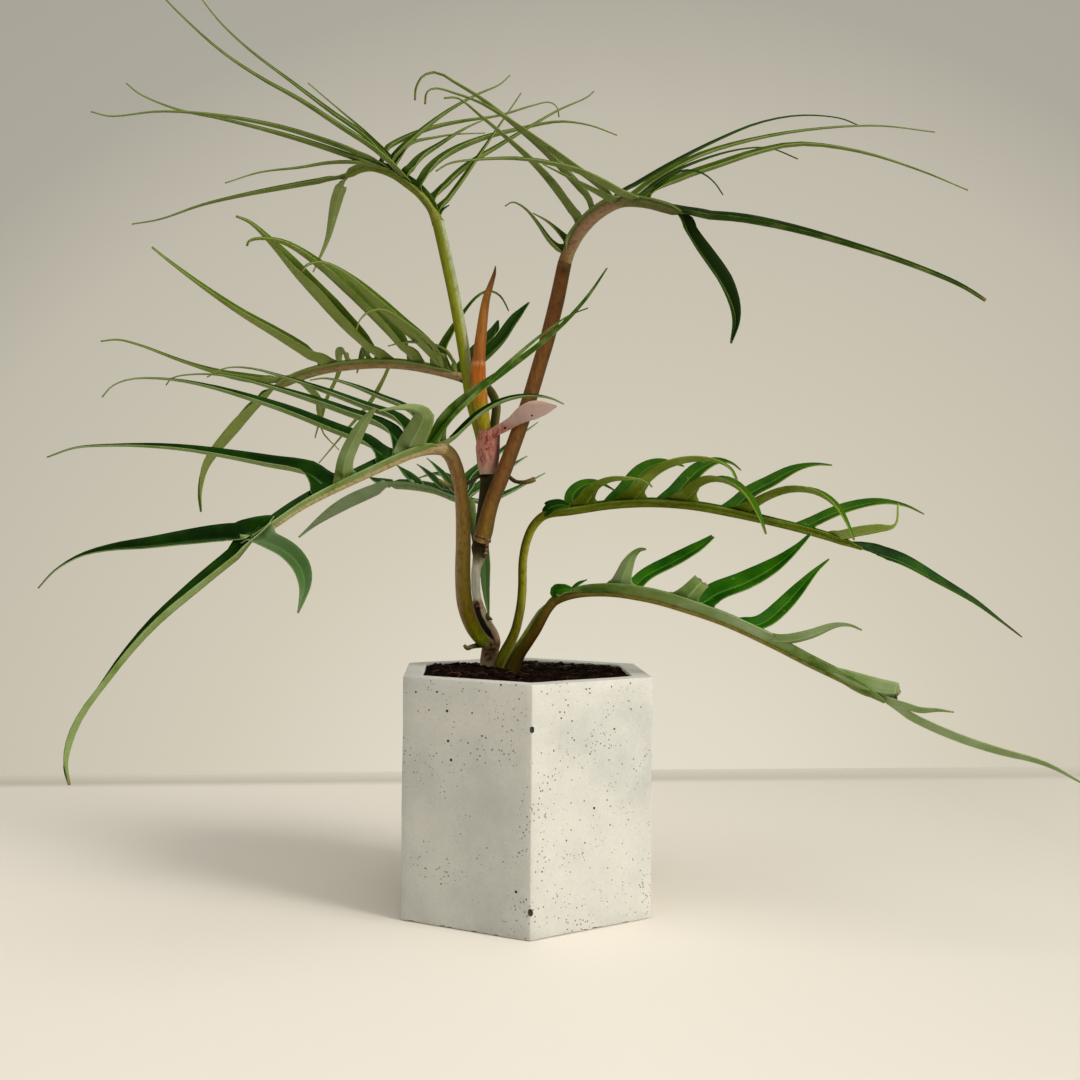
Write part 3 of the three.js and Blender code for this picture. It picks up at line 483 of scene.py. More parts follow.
bark_finish = Finish("damp_bark", Roughness=0.85, Specular_IOR_Level=0.04)
bark_tone = bark_finish.noise(210, 3, 0.6)
bark_grain = bark_finish.noise(700, 3, 0.6, stretch=(1, 0.25, 1))
bark_colour = bark_finish.ramp(bark_tone, (0.3, paint(6, 2, 1)), (0.58, paint(30, 14, 8)),
                               (0.8, paint(70, 40, 26)))
grained = bark_finish.ramp(bark_grain, (0.4, 0.0), (0.75, 0.6))
bark_finish.coat(bark_finish.mix(grained, bark_colour, paint(14, 8, 5)),
                 bark_finish.bump(bark_grain, 0.3 * MM))
dress(bark, bark_finish, slot="compost")

fibre_finish = Finish("coir", Roughness=0.75, Specular_IOR_Level=0.3)
fibre_finish.coat(fibre_finish.ramp(
    fibre_finish.noise(120), (0.35, paint(44, 24, 14)), (0.65, paint(96, 66, 44))))
dress(coir, fibre_finish, slot="compost")


# Stem: one short woody shoot, thickened and ringed with scars where old leaves fell, papery grey in
# the middle and green at the top, with four stubby aerial roots. It is rooted in the compost.
STEM_ROUTE = [
    (490, 700, -20), (490, 676, -20), (490, 661, -20), (490.5, 650, -20), (494, 640, -20),
    (489.5, 630, -20), (483.5, 620, -20), (480, 611, -20), (477.5, 601, -20), (476, 590, -20),
    (475.5, 578, -20), (476.5, 566, -20), (479.5, 556, -19.5), (480, 547, -19), (481, 536, -20),
    (481, 520, -20), (484, 500, -20), (487, 481, -19.5), (487, 475, -18.5),
]
STEM_WIDTHS = [20, 20, 19.5, 18, 12.5, 13, 12.5, 12.5, 9.5, 9, 9, 9.5, 14, 17.5, 13, 10, 11, 14, 16]
AERIAL_ROOTS = [
    ([(485, 476, -20), (478, 476.6, -21), (473, 480.5, -24), (467, 483.4, -26), (455, 487, -24),
      (447, 484.4, -22), (439, 479.8, -20)], [4, 4, 4, 4, 4, 4.5, 2.5]),
    ([(487, 474, -20), (500, 474, -24), (509.4, 477, -22), (512.8, 479.8, -21), (517.3, 482, -20),
      (524, 482.4, -18), (529.8, 481.2, -17), (535, 479, -17)], [4, 4, 4, 4, 4, 4.5, 5.5, 5]),
    ([(486, 645, -20), (480, 645, -14), (472, 646.5, -10), (467, 648, -8), (464, 645, -8)],
     [7, 6, 4.5, 5, 3]),
    ([(486, 615, -20), (488, 617.5, -18), (492, 619.5, -15.5)], [6, 4.5, 2]),
]
SCAR_RINGS = [
    (482.2, 539, -15, 8.2, (-0.32, -0.2, -1)), (487.8, 656.5, -15.3, 3.2, (-0.05, -1, 0.1)),
    (488.5, 641.5, -13.6, 4.6, (-1, -0.6, -0.4)), (488.5, 656.5, -15, 1.4, (0, -1, 0.1)),
]
SCAR_BEADS = [
    (487, 545, -14.2, 2.1), (487, 549.5, -14.4, 1.8), (486, 553.5, -14.6, 2), (484, 556.5, -15, 1.5),
    (476.6, 602.5, -17.4, 1.9), (479, 604.5, -17.2, 1.6), (477, 606.5, -17, 1.7), (480, 608, -17, 1.3),
    (489.5, 648, -15.4, 2), (493, 647.5, -15.6, 2.3), (496, 649, -16, 1.7), (478.5, 535.5, -11.6, 1.1),
]
TO_VIEWER = Vector((0, -1, 0.05)).normalized()
STEPS_PER_SPAN = 8
LATE_TWIST = 2.2


def smooth_route(points):
    """Points along a smooth line through the given ones, a fixed number for each span."""
    ends = [points[0] * 2 - points[1], *points, points[-1] * 2 - points[-2]]
    line = []
    for a, b, c, d in zip(ends, ends[1:], ends[2:], ends[3:]):
        before, here, after = ((q - p).length ** 0.5 for p, q in ((a, b), (b, c), (c, d)))
        leave = ((b - a) / before - (c - a) / (before + here) + (c - b) / here) * here
        reach = ((c - b) / here - (d - b) / (here + after) + (d - c) / after) * here
        for step in range(STEPS_PER_SPAN):
            t = step / STEPS_PER_SPAN
            line.append(b + leave * t + ((c - b) * 3 - leave * 2 - reach) * t ** 2
                        + ((b - c) * 2 + leave + reach) * t ** 3)
    return line + [points[-1]]


def value_along(values, share):
    at = share * (len(values) - 1)
    index = min(int(at), len(values) - 2)
    return values[index] + (values[index + 1] - values[index]) * (at - index)


def view_scale(point):
    """Millimetres for one unit of the front view, at the point's distance, in metres."""
    return (VIEW_DISTANCE * MM + point.y) / VIEW_FOCAL


def bend(blank, points, radii, facing, twist=0.0):
    """A copy of a straight blank along X, bent along points, with its top turned to facing. It may
    twist about its own line, by so many degrees at its tip."""
    turn = facing.to_track_quat("Z", "Y").to_matrix().to_4x4()
    back = turn.inverted()
    line = bpy.data.curves.new("bend", "CURVE")
    line.dimensions, line.twist_mode = "3D", "Z_UP"
    line.use_stretch = line.use_deform_bounds = line.use_radius = True
    spline = line.splines.new("POLY")
    spline.points.add(len(points) - 1)
    for i, (knot, point, radius) in enumerate(zip(spline.points, points, radii)):
        knot.co = (*(back @ point), 1)
        knot.radius = radius
        knot.tilt = math.radians(twist) * (i / len(points)) ** LATE_TWIST
    route = bpy.data.objects.new("bend", line)
    bpy.context.collection.objects.link(route)
    piece = copied(blank)
    finish_with(piece, "CURVE", object=route, deform_axis="POS_X")
    piece.data.transform(turn)
    bpy.data.curves.remove(line)
    return piece


def tube_blank(sides, rings, ends, open_angle=0):
    """A round tube along X, one unit in radius, ringed so that it can be bent. It may be left open at
    the back, by an angle in degrees."""
    bpy.ops.mesh.primitive_cylinder_add(
        vertices=sides, radius=1, depth=2, end_fill_type=ends, rotation=(math.pi / 2, 0, math.pi / 2))
    blank = bpy.context.object
    settle(blank, "tube")
    bpy.ops.object.mode_set(mode="EDIT")
    if open_angle:
        open_from = math.cos(math.radians(open_angle / 2))
        pick(blank, "FACE", lambda face: -face.normal.z > open_from)
        bpy.ops.mesh.delete(type="FACE")
    pick(blank, "EDGE", lambda edge: abs(edge.verts[0].co.x - edge.verts[1].co.x) > 1)
    bpy.ops.mesh.subdivide(number_cuts=rings)
    bpy.ops.object.mode_set(mode="OBJECT")
    return blank


def rod_blank(sides, rings):
    """A bar: a tube with closed ends that knows how far along it each of its rings is."""
    blank = tube_blank(sides, rings, "TRIFAN")
    only(blank)
    bpy.ops.object.shade_smooth_by_angle(angle=math.radians(60))
    along = blank.data.attributes.new("along", "FLOAT", "POINT")
    along.data.foreach_set("value", [(corner.co.x + 1) / 2 for corner in blank.data.vertices])
    return blank


def seen_route(route, widths):
    """A route's smooth line and the radii along it, for widths that are read across it in the front
    view and spread evenly along it."""
    line = smooth_route([place(*point) for point in route])
    return line, [value_along(widths, i / (len(line) - 1)) * view_scale(point) / 2
                  for i, point in enumerate(line)]


def rod(blank, route, widths, name):
    """A round stem, bent from the blank."""
    piece = bend(blank, *seen_route(route, widths), TO_VIEWER)
    piece.name = piece.data.name = name
    return piece


stem_bar = rod_blank(sides=24, rings=150)
root_bar = rod_blank(sides=10, rings=24)
stem = rod(stem_bar, STEM_ROUTE, STEM_WIDTHS, "stem")
roughen(stem, "stem_skin", 4 * MM, 0.7 * MM)
roots = [rod(root_bar, route, widths, "aerial_root") for route, widths in AERIAL_ROOTS]
for root in roots:
    roughen(root, "root_skin", 3 * MM, 0.5 * MM)
aerial_roots = joined(roots, "aerial_roots")

# scars: a swollen ring where each old petiole came away, and beads of dry tissue beside it
bpy.ops.mesh.primitive_torus_add(major_radius=1, minor_radius=0.17, major_segments=20, minor_segments=8)
ring_blank = bpy.context.object
bpy.ops.mesh.primitive_uv_sphere_add(segments=10, ring_count=8, radius=1)
bead_blank = bpy.context.object


def set_in_view(blank, across, down, forward, size, lie=Matrix.Identity(4)):
    """A copy of the blank at a place of the front view, its size in the view's units."""
    point = place(across, down, forward)
    return copied(blank, Matrix.Translation(point) @ lie @ Matrix.Scale(size * view_scale(point), 4))


scars = [set_in_view(ring_blank, *spot, Vector(axis).to_track_quat("Z", "Y").to_matrix().to_4x4())
         for *spot, axis in SCAR_RINGS]
stem_scars = joined([*scars, *(set_in_view(bead_blank, *spot) for spot in SCAR_BEADS)], "stem_scars")
dropped(ring_blank)
roughen(stem_scars, "scar_skin", 1.6 * MM, 0.8 * MM)
only(stem_scars)
bpy.ops.object.shade_smooth()

skin = Finish("stem_skin", Roughness=0.6, Specular_IOR_Level=0.1)
uneven = skin.math("MULTIPLY", skin.math("SUBTRACT", skin.noise(160, 3), 0.5), 3 * MM)
level = skin.level(skin.math("ADD", skin.part("Object", 2), uneven), 0.095, 0.19)
bands = skin.ramp(
    level, (0.02, paint(176, 164, 132)), (0.1, paint(150, 120, 88)), (0.16, paint(104, 66, 38)),
    (0.19, paint(160, 132, 104)), (0.3, paint(160, 154, 126)), (0.35, paint(146, 120, 90)),
    (0.38, paint(186, 172, 142)), (0.4, paint(172, 172, 152)), (0.53, paint(184, 178, 154)),
    (0.57, paint(110, 104, 72)), (0.6, paint(40, 42, 12)), (0.66, paint(52, 34, 12)),
    (0.7, paint(38, 46, 10)), (1.0, paint(48, 50, 12)))
# painted shade: at these heights the stem's left side, turned away from the light, is darkened
shaded_levels = skin.ramp(level, (0.15, 0.0), (0.19, 1.0), (0.34, 1.0), (0.37, 0.0), (0.56, 0.0), (0.6, 0.3),
                     (1.0, 0.3))
away = skin.math("ADD", skin.part("Normal", 0), skin.math("MULTIPLY", uneven, 120))
shaded = skin.math("MULTIPLY", shaded_levels, skin.ramp(away, (0.0, 1.0), (0.22, 0.0)))
streaks = skin.noise(300, 4, 0.7, stretch=(5, 5, 0.4))
streaked = skin.mix(skin.ramp(streaks, (0.45, 0.0), (0.75, 0.6)), bands, paint(84, 58, 36))
skin.coat(skin.mix(shaded, streaked, paint(30, 14, 6)), skin.bump(streaks, 0.5 * MM, 0.8))
dress(stem, skin, slot="stem_skin", replaces=["stem"])

root_skin = Finish("root_skin", Roughness=0.6, Specular_IOR_Level=0.2)
root_bands = root_skin.ramp(root_skin.attribute("along"), (0.0, paint(60, 56, 14)),
                            (0.7, paint(70, 62, 16)), (0.86, paint(118, 98, 54)))
patchy = root_skin.ramp(root_skin.noise(300, 3), (0.5, 0.0), (0.7, 0.6))
root_skin.coat(root_skin.mix(patchy, root_bands, paint(34, 24, 6)))
dress(aerial_roots, root_skin, slot="stem_skin")

scar_skin = Finish("scar_skin", Roughness=0.6, Specular_IOR_Level=0.2)
crusty = scar_skin.ramp(scar_skin.noise(520, 4, 0.7), (0.4, paint(50, 22, 8)),
                        (0.52, paint(110, 72, 42)), (0.68, paint(176, 142, 106)))
scar_skin.coat(crusty, scar_skin.bump(scar_skin.noise(900, 2), 0.3 * MM))
dress(stem_scars, scar_skin, slot="stem_skin")


# New leaf: the next leaf still rolled up, a stiff tapering spike that is yellow-green at the foot and
# orange above the line where its sheath fell away, brown at its soft tip.
SPIKE_ROUTE = [
    (488, 472.5, -15.2), (488, 452, -15), (485.5, 432, -14.5), (482.5, 415, -13), (479.5, 395, -12),
    (478.7, 378, -11.5), (478.7, 363, -11), (478.8, 360, -11), (480.6, 340, -11), (486, 300, -11),
    (491, 284, -11), (494.5, 273, -10.5), (495.5, 266, -10),
]
SPIKE_WIDTHS = [8.5, 9, 11, 14, 16, 14.5, 14, 13, 11.5, 8, 5.5, 3.4, 1]

spike_bar = rod_blank(sides=16, rings=90)
spike = rod(spike_bar, SPIKE_ROUTE, SPIKE_WIDTHS, "rolled_leaf")

rolled = Finish("rolled_leaf", Roughness=0.5, Specular_IOR_Level=0.2)
bands = rolled.ramp(
    rolled.level(rolled.part("Object", 2), 0.18, 0.28),
    (0.0, paint(116, 108, 0)), (0.35, paint(150, 138, 0)), (0.42, paint(178, 108, 0)),
    (0.545, paint(190, 98, 8)), (0.56, paint(206, 140, 90)), (0.575, paint(158, 88, 16)),
    (0.8, paint(154, 98, 26)), (0.93, paint(122, 78, 24)), (1.0, paint(76, 42, 20)))
streaks = rolled.noise(300, 4, 0.7, stretch=(4, 4, 0.25))
streaked = rolled.mix(rolled.ramp(streaks, (0.44, 0.0), (0.66, 0.6)), bands, paint(76, 44, 2))
rolled.coat(streaked, rolled.bump(streaks, 0.4 * MM, 0.7))
dress(spike, rolled, slot="new_leaf", replaces=["new_leaf_spike"])


# Dried sheath: the papery bract that wrapped the last leaf, dried pink and freckled red. It clasps the
# stem's tip from the front, open at the back, and its torn end stands out to the right like a flag.
SHEATH_ROUTE = [
    (488, 474.5, -17), (487.8, 463, -16.9), (488, 450, -16.7), (488.5, 440, -16.4), (489, 430, -16),
]
SHEATH_RADII = [value * MM for value in (3.7, 4.9, 5.4, 5.3, 4.8)]
SHEATH_SPOTS = [(505, 428, -8, 1.3), (532, 415.5, -5.2, 1.1), (486.5, 449, -10.8, 0.9)]
SHEATH_OPEN_ANGLE = 130
PAPER_THICKNESS = 0.35 * MM
FLAG_RINGS = 28
FLAG_FOLD = 0.12
BLADE_STRIPS = 8
FOLD_EASE = 0.12
FOLD_AT_FOOT = 0.25
FOLD_RISE = 9
RING_CROWDING = 0.11
FLAG_ROUTE = [
    (487, 437, -10.7), (496, 431, -10), (505, 426.5, -8.6), (513, 421.5, -7.4), (523, 414.5, -6.2),
    (534, 410, -6), (545, 408, -6.5), (557, 406, -7.5),
]
FLAG_WIDTHS = [9, 10, 11, 12, 18, 20, 14, 1]


def blade_blank(rings, fold):
    """A flat strip along X, one unit in half-width, creased along its middle into a V that lies
    flatter at its foot, with its rings closer together towards both ends."""
    bpy.ops.mesh.primitive_grid_add(x_subdivisions=rings, y_subdivisions=BLADE_STRIPS, size=2)
    blank = bpy.context.object
    bpy.ops.object.mode_set(mode="EDIT")
    for step in range(1, BLADE_STRIPS // 2 + 1):
        share = 2 * step / BLADE_STRIPS
        pick(blank, "VERT", lambda corner: abs(abs(corner.co.y) - share) < 0.01)
        bpy.ops.transform.translate(value=(0, 0, fold * share * (1 + FOLD_EASE - FOLD_EASE * share)))
    for ring, share in enumerate(ring_shares(rings)):
        plain = 2 * ring / rings - 1
        pick(blank, "VERT", lambda corner: abs(corner.co.x - plain) < 0.01)
        height = min(1, FOLD_AT_FOOT + share * FOLD_RISE)
        bpy.ops.transform.resize(value=(1, 1, height), center_override=(0, 0, 0))
    moves = sorted(enumerate(ring_shares(rings)), key=lambda one: one[1] > 0.5 and -one[0])
    for ring, share in moves:
        plain = 2 * ring / rings - 1
        pick(blank, "VERT", lambda corner: abs(corner.co.x - plain) < 0.01)
        bpy.ops.transform.translate(value=(2 * share - 1 - plain, 0, 0))
    bpy.ops.object.mode_set(mode="OBJECT")
    return blank


def ring_shares(rings):
    """The shares of a blade blank's length at which its rings stand."""
    return [i / rings - RING_CROWDING * math.sin(2 * math.pi * i / rings) for i in range(rings + 1)]


def spread(line, shares):
    """The points of the line at the given shares of its length."""
    reached = [0.0]
    for a, b in zip(line, line[1:]):
        reached.append(reached[-1] + (b - a).length)
    points, index = [], 0
    for share in shares:
        wanted = share * reached[-1]
        while index < len(line) - 2 and reached[index + 1] < wanted:
            index += 1
        gap = reached[index + 1] - reached[index]
        points.append(line[index].lerp(line[index + 1], min(1, (wanted - reached[index]) / gap)))
    return points, reached[-1]


wrap_blank = tube_blank(sides=40, rings=24, ends="NOTHING", open_angle=SHEATH_OPEN_ANGLE)
sheath_line = smooth_route([place(*point) for point in SHEATH_ROUTE])
last = len(sheath_line) - 1
sheath_radii = [value_along(SHEATH_RADII, i / last) for i in range(last + 1)]
wrap = bend(wrap_blank, sheath_line, sheath_radii, TO_VIEWER)
flag_blank = blade_blank(FLAG_RINGS, FLAG_FOLD)
flag = bend(flag_blank, *seen_route(FLAG_ROUTE, FLAG_WIDTHS), Vector((-0.2, -1, 0.2)).normalized())
sheath = joined([wrap, flag], "dried_sheath_paper")
roughen(sheath, "paper_crumple", 6 * MM, 0.7 * MM)
finish_with(sheath, "SOLIDIFY", thickness=PAPER_THICKNESS, offset=-1)
dropped(wrap_blank, flag_blank)
only(sheath)
bpy.ops.object.shade_smooth_by_angle(angle=math.radians(50))

paper = Finish("dried_paper", Roughness=0.7, Specular_IOR_Level=0.15)
level = paper.level(paper.part("Object", 2), 0.187, 0.219)
blush = paper.ramp(
    level, (0.0, paint(180, 150, 126)), (0.2, paint(182, 134, 116)), (0.45, paint(180, 118, 100)),
    (0.62, paint(172, 118, 102)), (0.72, paint(164, 138, 126)), (0.95, paint(166, 138, 126)),
    (1.0, paint(186, 160, 140)))
marks = paper.ramp(paper.noise(380, 5, 0.8, stretch=(1, 1, 0.4)), (0.46, 0.0), (0.6, 0.85))
middle = paper.ramp(level, (0.05, 0.1), (0.2, 0.9), (0.55, 1.0), (0.66, 0.5), (0.74, 0.05))
marked = paper.mix(paper.math("MULTIPLY", marks, middle), blush, paint(120, 40, 28))
# painted shadow: the middle of the sheath is darkened on its right-facing side, where the stem's shadow
# falls
right_side_shading = paper.ramp(paper.part("Normal", 0), (0.35, 0.0), (0.9, 0.8))
paper.coat(paper.mix(paper.math("MULTIPLY", right_side_shading, middle), marked, paint(84, 36, 20)),
           paper.bump(paper.noise(400, 4, 0.6, stretch=(1, 1, 0.4)), 0.4 * MM, 0.8))
dress(sheath, paper, slot="dry_sheath", replaces=["dried_sheath"])

flattened = Matrix.Diagonal((1, 0.4, 1, 1))
sheath_spots = joined([set_in_view(bead_blank, *spot, flattened) for spot in SHEATH_SPOTS], "sheath_spots")
dropped(bead_blank)
dry_spot = Finish("dry_spot", Roughness=0.8, Specular_IOR_Level=0.1, Base_Color=paint(58, 22, 14))
dress(sheath_spots, dry_spot, slot="dry_sheath")


# Upper left leaf: the youngest open leaf, on a stout smooth yellow-green petiole, painted darker down its
# left as shade and silver-green down its right as a highlight. Long narrow leaflets arch up and out to both
# sides of its rib.
DEEP_FOLD = 0.9
SHALLOW_FOLD = 0.45
UPPER_LEFT_PETIOLE = ([
    (484, 472.5, -19.6), (480.5, 440, -18.8), (471, 400, -16.5), (463, 345, -15), (455, 300, -14),
    (447, 262, -14), (441, 235, -14), (438, 223, -14),
], [8.5, 9, 11, 12, 12, 12, 12, 12])
UPPER_LEFT_RIB = ([
    (438, 223, -14), (431, 206, -16), (420, 192, -20), (406, 181, -26), (390, 171, -34),
    (372, 166, -42), (358, 169, -49), (346, 177, -55),
], [13, 14, 13, 12, 12, 10, 8])
UPPER_LEFT_LEAFLETS = [
    (6, [(346, 177, -55), (320, 180, -58), (280, 187, -62), (240, 195, -66), (200, 205, -69),
         (160, 219, -72), (132, 224, -74)]),
    (10, [(346, 178, -55), (338, 195, -59), (333, 215, -64), (327, 240, -69), (313, 272, -74)],
     {"facing": (-0.3, 0.5, 0.8), "fold": SHALLOW_FOLD, "tones": (0.4, 0.4)}),
    (4, [(383, 168, -37), (360, 162, -30), (330, 162, -25), (300, 167, -20), (260, 172, -14),
         (225, 183, -10)]),
    (6, [(388, 167, -34), (360, 153, -27), (320, 138, -20), (280, 126, -14), (220, 115, -8),
         (160, 111, -2), (110, 116, 2), (91, 111.5, 3)]),
    (6, [(394, 172, -33), (360, 159, -30), (320, 145, -27), (280, 133, -24), (220, 118, -20),
         (180, 110, -18), (140, 94, -16), (126, 83, -15)]),
    (6, [(408, 178, -24), (380, 152, -17), (340, 125, -10), (300, 99, -4), (260, 77, 0), (220, 50, 4),
         (180, 14, 8), (155, -12, 10)]),
    (5, [(402, 172, -28), (370, 139, -24), (330, 110, -20), (290, 80, -17), (250, 50, -14),
         (220, 22, -12), (195, -10, -10)]),
    (3, [(394, 163, -32), (370, 136, -33), (340, 110, -34), (308, 83, -35)]),
    (5, [(438, 217, -15), (441, 210, -16), (449, 205, -18)], {"flare": 0, "tones": (-1, -1)}),
    (5, [(437, 214, -15), (452, 192, -15), (468, 170, -16), (484, 147, -18), (500, 124, -20),
         (521, 93, -24)]),
    (6, [(434, 200, -17), (450, 179, -19), (470, 162, -22), (500, 144, -25), (530, 126, -29),
         (560, 109, -33), (587, 97, -37), (594, 91, -38)]),
    (7, [(422, 182, -20), (432, 165, -24), (450, 151, -29), (480, 138, -35), (520, 128, -42),
         (560, 121, -48), (590, 125, -52), (617, 135, -56)]),
    (7, [(409, 171, -26), (420, 156, -30), (440, 143, -35), (465, 128, -41), (485, 119, -46)]),
    (6, [(395, 155, -31), (415, 135, -34), (445, 112, -38), (475, 95, -42), (500, 84, -46),
         (510, 75, -48)]),
    (5, [(387, 149, -36), (405, 137, -42), (435, 126, -50), (465, 120, -57), (500, 115, -64),
         (530, 106, -69), (550, 102, -73), (557, 107, -75), (559, 117, -76)]),
    (4, [(399, 158, -32), (412, 142, -44), (435, 137, -52), (455, 134, -60), (485, 133, -68)]),
]
BLADE_RINGS = 30
RIB_RINGS = 60
RIB_STEPS = 120
LONG_TAPER = [0.65, 1, 0.98, 0.82, 0.62, 0.44, 0.3, 0.18, 0.1]
WHIP_TAPER = [0.7, 1, 0.95, 0.85, 0.7, 0.5, 0.3, 0.17, 0.1, 0.06]
FULL_TAPER = [0.6, 0.92, 1, 1, 0.92, 0.76, 0.5, 0.26, 0.1]
LEAF_THICKNESS = 0.45 * MM
LEAST_HALF_WIDTH = 0.22 * MM
LEAST_SEEN = 0.7
EDGE_ON = 0.3
WING_FOLD = 1.1
WING_LEAST_SEEN = 0.8
WING_REACH = 1.6 * MM
WING_TILT = (-0.26, 0.97)
FOOT_NEAR = 3 * MM
FOOT_SWING = 3 * MM
FOOT_BEHIND = Vector((0, 1.2, 0)) * MM
TORN_RINGS = 4
TORN_DEPTH = 1.6 * MM
FLARE_LENGTH = 3.1 * MM
FLARE_MOST = 3.8 * MM
FLARE_OF_WIDTH = 0.9
LENGTH_TO_FLARE = 6
FOLD_SET_IN = 8
RIB_SET = 1.2
RIB_SLIMMING = 9
RIB_TIP = 0.4
RIB_TIP_RISE = 9
WING_SHARE = 0.6
WING_FOOT = 0.12
WING_RISE = 14
WING_VEIN_END = 0.8
PLUG_REACH = 0.3
PLUG_WIDTH = 0.8
SPECKLE = (50, 34, 14)
PETIOLE_GRAIN = (2, 2, 0.7)
RIB_GRAIN = (0.7, 2, 2)
UNDERSIDE_VEIN = 0.2
VEIN_LIGHTER = 62
FLECK_LIGHTER = 90
SIDE_VEINS = 420
SIDE_VEIN_SLANT = 60
PALE_MIX_COLOUR = (112, 132, 92)
DRY_TIP_COLOUR = (124, 96, 58)

petiole_bar = rod_blank(sides=16, rings=110)
rib_bar = rod_blank(sides=12, rings=RIB_RINGS)
blade_blanks = {fold: blade_blank(BLADE_RINGS, fold) for fold in (WING_FOLD, DEEP_FOLD, SHALLOW_FOLD)}


def across_view(tangent, normal, fold):
    """How high a folded strip of unit half-width looks in the front view, and its middle's offset
    from the crease measured along the normal."""
    side = normal.cross(tangent)
    across = Vector((-tangent.z, 0, tangent.x)).normalized()
    along_side, along_normal = side.dot(across), normal.dot(across)
    edges = (0, along_side + fold * along_normal, fold * along_normal - along_side)
    middle = (max(edges) + min(edges)) / 2
    offset = middle / along_normal if abs(along_normal) > EDGE_ON else fold / 2
    return max(edges) - min(edges), max(0, min(fold, offset))


def upright(points, facing):
    """Tangent and normal at each point, the normal as near to facing as the line lets it be."""
    frames = []
    for before, after in zip([points[0], *points[:-1]], [*points[1:], points[-1]]):
        tangent = (after - before).normalized()
        frames.append((tangent, (facing - tangent * facing.dot(tangent)).normalized()))
    return frames


def leaflet(entry, rib_line, habit):
    """One leaflet, its foot set on the rib's line and flared into the wing there. It grows as its
    leaf's habit says, but for what its own entry changes."""
    width, route, *changes = entry
    look = {**habit, **(changes[0] if changes else {})}
    facing = Vector(look["facing"]).normalized()
    points = [place(*point) for point in route]
    foot = min(rib_line, key=lambda point: (point - points[0]).length)
    if (points[0] - foot).length < FOOT_NEAR:
        points.pop(0)
    points, length = spread(smooth_route([foot + FOOT_BEHIND, *points]), ring_shares(BLADE_RINGS))
    frames = upright(points, facing)
    seen, offset = across_view(*frames[BLADE_RINGS // 2], look["fold"])
    full = width * view_scale(points[BLADE_RINGS // 2]) / max(seen, LEAST_SEEN)
    flare = min(FLARE_MOST, full * FLARE_OF_WIDTH, length / LENGTH_TO_FLARE) * look.get("flare", 1)
    radii, middle = [], []
    for share, point, (_, normal) in zip(ring_shares(BLADE_RINGS), points, frames):
        from_wing = max(0, share * length - WING_REACH)
        half = full * value_along(look["profile"], share)
        radii.append(max(half + flare * math.exp(-from_wing / FLARE_LENGTH), LEAST_HALF_WIDTH))
        middle.append(point - normal * offset * half * min(1, share * FOLD_SET_IN))
    blank = blade_blanks[look["fold"]]
    piece = bend(blank, middle, radii, facing, look.get("twist", 0))
    rib_index = rib_line.index(foot)
    along_rib = (rib_line[min(rib_index + 1, RIB_STEPS)] - rib_line[max(rib_index - 1, 0)]).normalized()
    for corner, plain in zip(piece.data.vertices, blank.data.vertices):
        ring = corner.index % (BLADE_RINGS + 1)
        tangent, normal = frames[ring]
        side = normal.cross(tangent)
        lie = along_rib if along_rib.dot(side) > 0 else -along_rib
        swing = math.exp(-max(0, ring_shares(BLADE_RINGS)[ring] * length - WING_REACH) / FOOT_SWING)
        corner.co += (lie - side) * plain.co.y * radii[ring] * swing * bool(flare)
        if look.get("torn") and ring > BLADE_RINGS - TORN_RINGS:
            corner.co -= tangent * random.random() * TORN_DEPTH
    set_tones(piece, look.get("tones", (0, 0)))
    return piece


def set_tones(piece, tones):
    """How much lighter, or darker below nought, the piece is than the rest from its foot to its tip.
    Above one it is mixed towards a pale grey-green."""
    attribute = piece.data.attributes.new("tone", "FLOAT", "POINT")
    shares = ring_shares(BLADE_RINGS)
    attribute.data.foreach_set("value", [
        value_along(tones, shares[index % (BLADE_RINGS + 1)]) for index in range(len(attribute.data))])


def rib_stations(rib, habit, shares):
    """Where the wing's crease and the rib below it run: crease points, rib points, wing half-widths
    and rib radii at shares of the length. Together they look as wide as the table says."""
    line, widths = rib
    facing = Vector((habit["facing"][0], *habit.get("wing", WING_TILT))).normalized()
    points, _ = spread(line, shares)
    creases, ribs, wings, radii = [], [], [], []
    for share, point, (tangent, normal) in zip(shares, points, upright(points, facing)):
        full = value_along(widths, share) * view_scale(point) * min(1, (1 - share) * RIB_TIP_RISE + RIB_TIP)
        slim = 1 + (habit["rib"] - 1) * min(1, share * RIB_SLIMMING)
        radius = full * slim / 2
        seen, _ = across_view(tangent, normal, WING_FOLD)
        creases.append(point - normal * (full / 2 - RIB_SET * radius))
        ribs.append(point - normal * (full / 2 - radius))
        wings.append(full * (1 - WING_SHARE * slim) / max(seen, WING_LEAST_SEEN)
                     * min(1, share * WING_RISE + WING_FOOT))
        radii.append(radius)
    return facing, creases, ribs, wings, radii


def grown_blade(name, rib, leaflets, habit):
    """All leaflets of a leaf with the wing that joins them, as one sheet given its thickness."""
    rib_line, _ = spread(rib[0], [i / RIB_STEPS for i in range(RIB_STEPS + 1)])
    facing, creases, _, wings, _ = rib_stations(rib, habit, ring_shares(BLADE_RINGS))
    wing = bend(blade_blanks[WING_FOLD], creases, wings, facing)
    for corner in wing.data.uv_layers[0].data:
        corner.uv.x *= WING_VEIN_END
    set_tones(wing, habit.get("wing_tones", (0, 0)))
    blade = joined([wing, *(leaflet(one, rib_line, habit) for one in leaflets)], name)
    blade.data.materials.append(None)
    blade.data.materials.append(None)
    finish_with(blade, "SOLIDIFY", thickness=LEAF_THICKNESS, offset=0, material_offset=1,
                material_offset_rim=1)
    only(blade)
    bpy.ops.object.shade_smooth()
    return blade


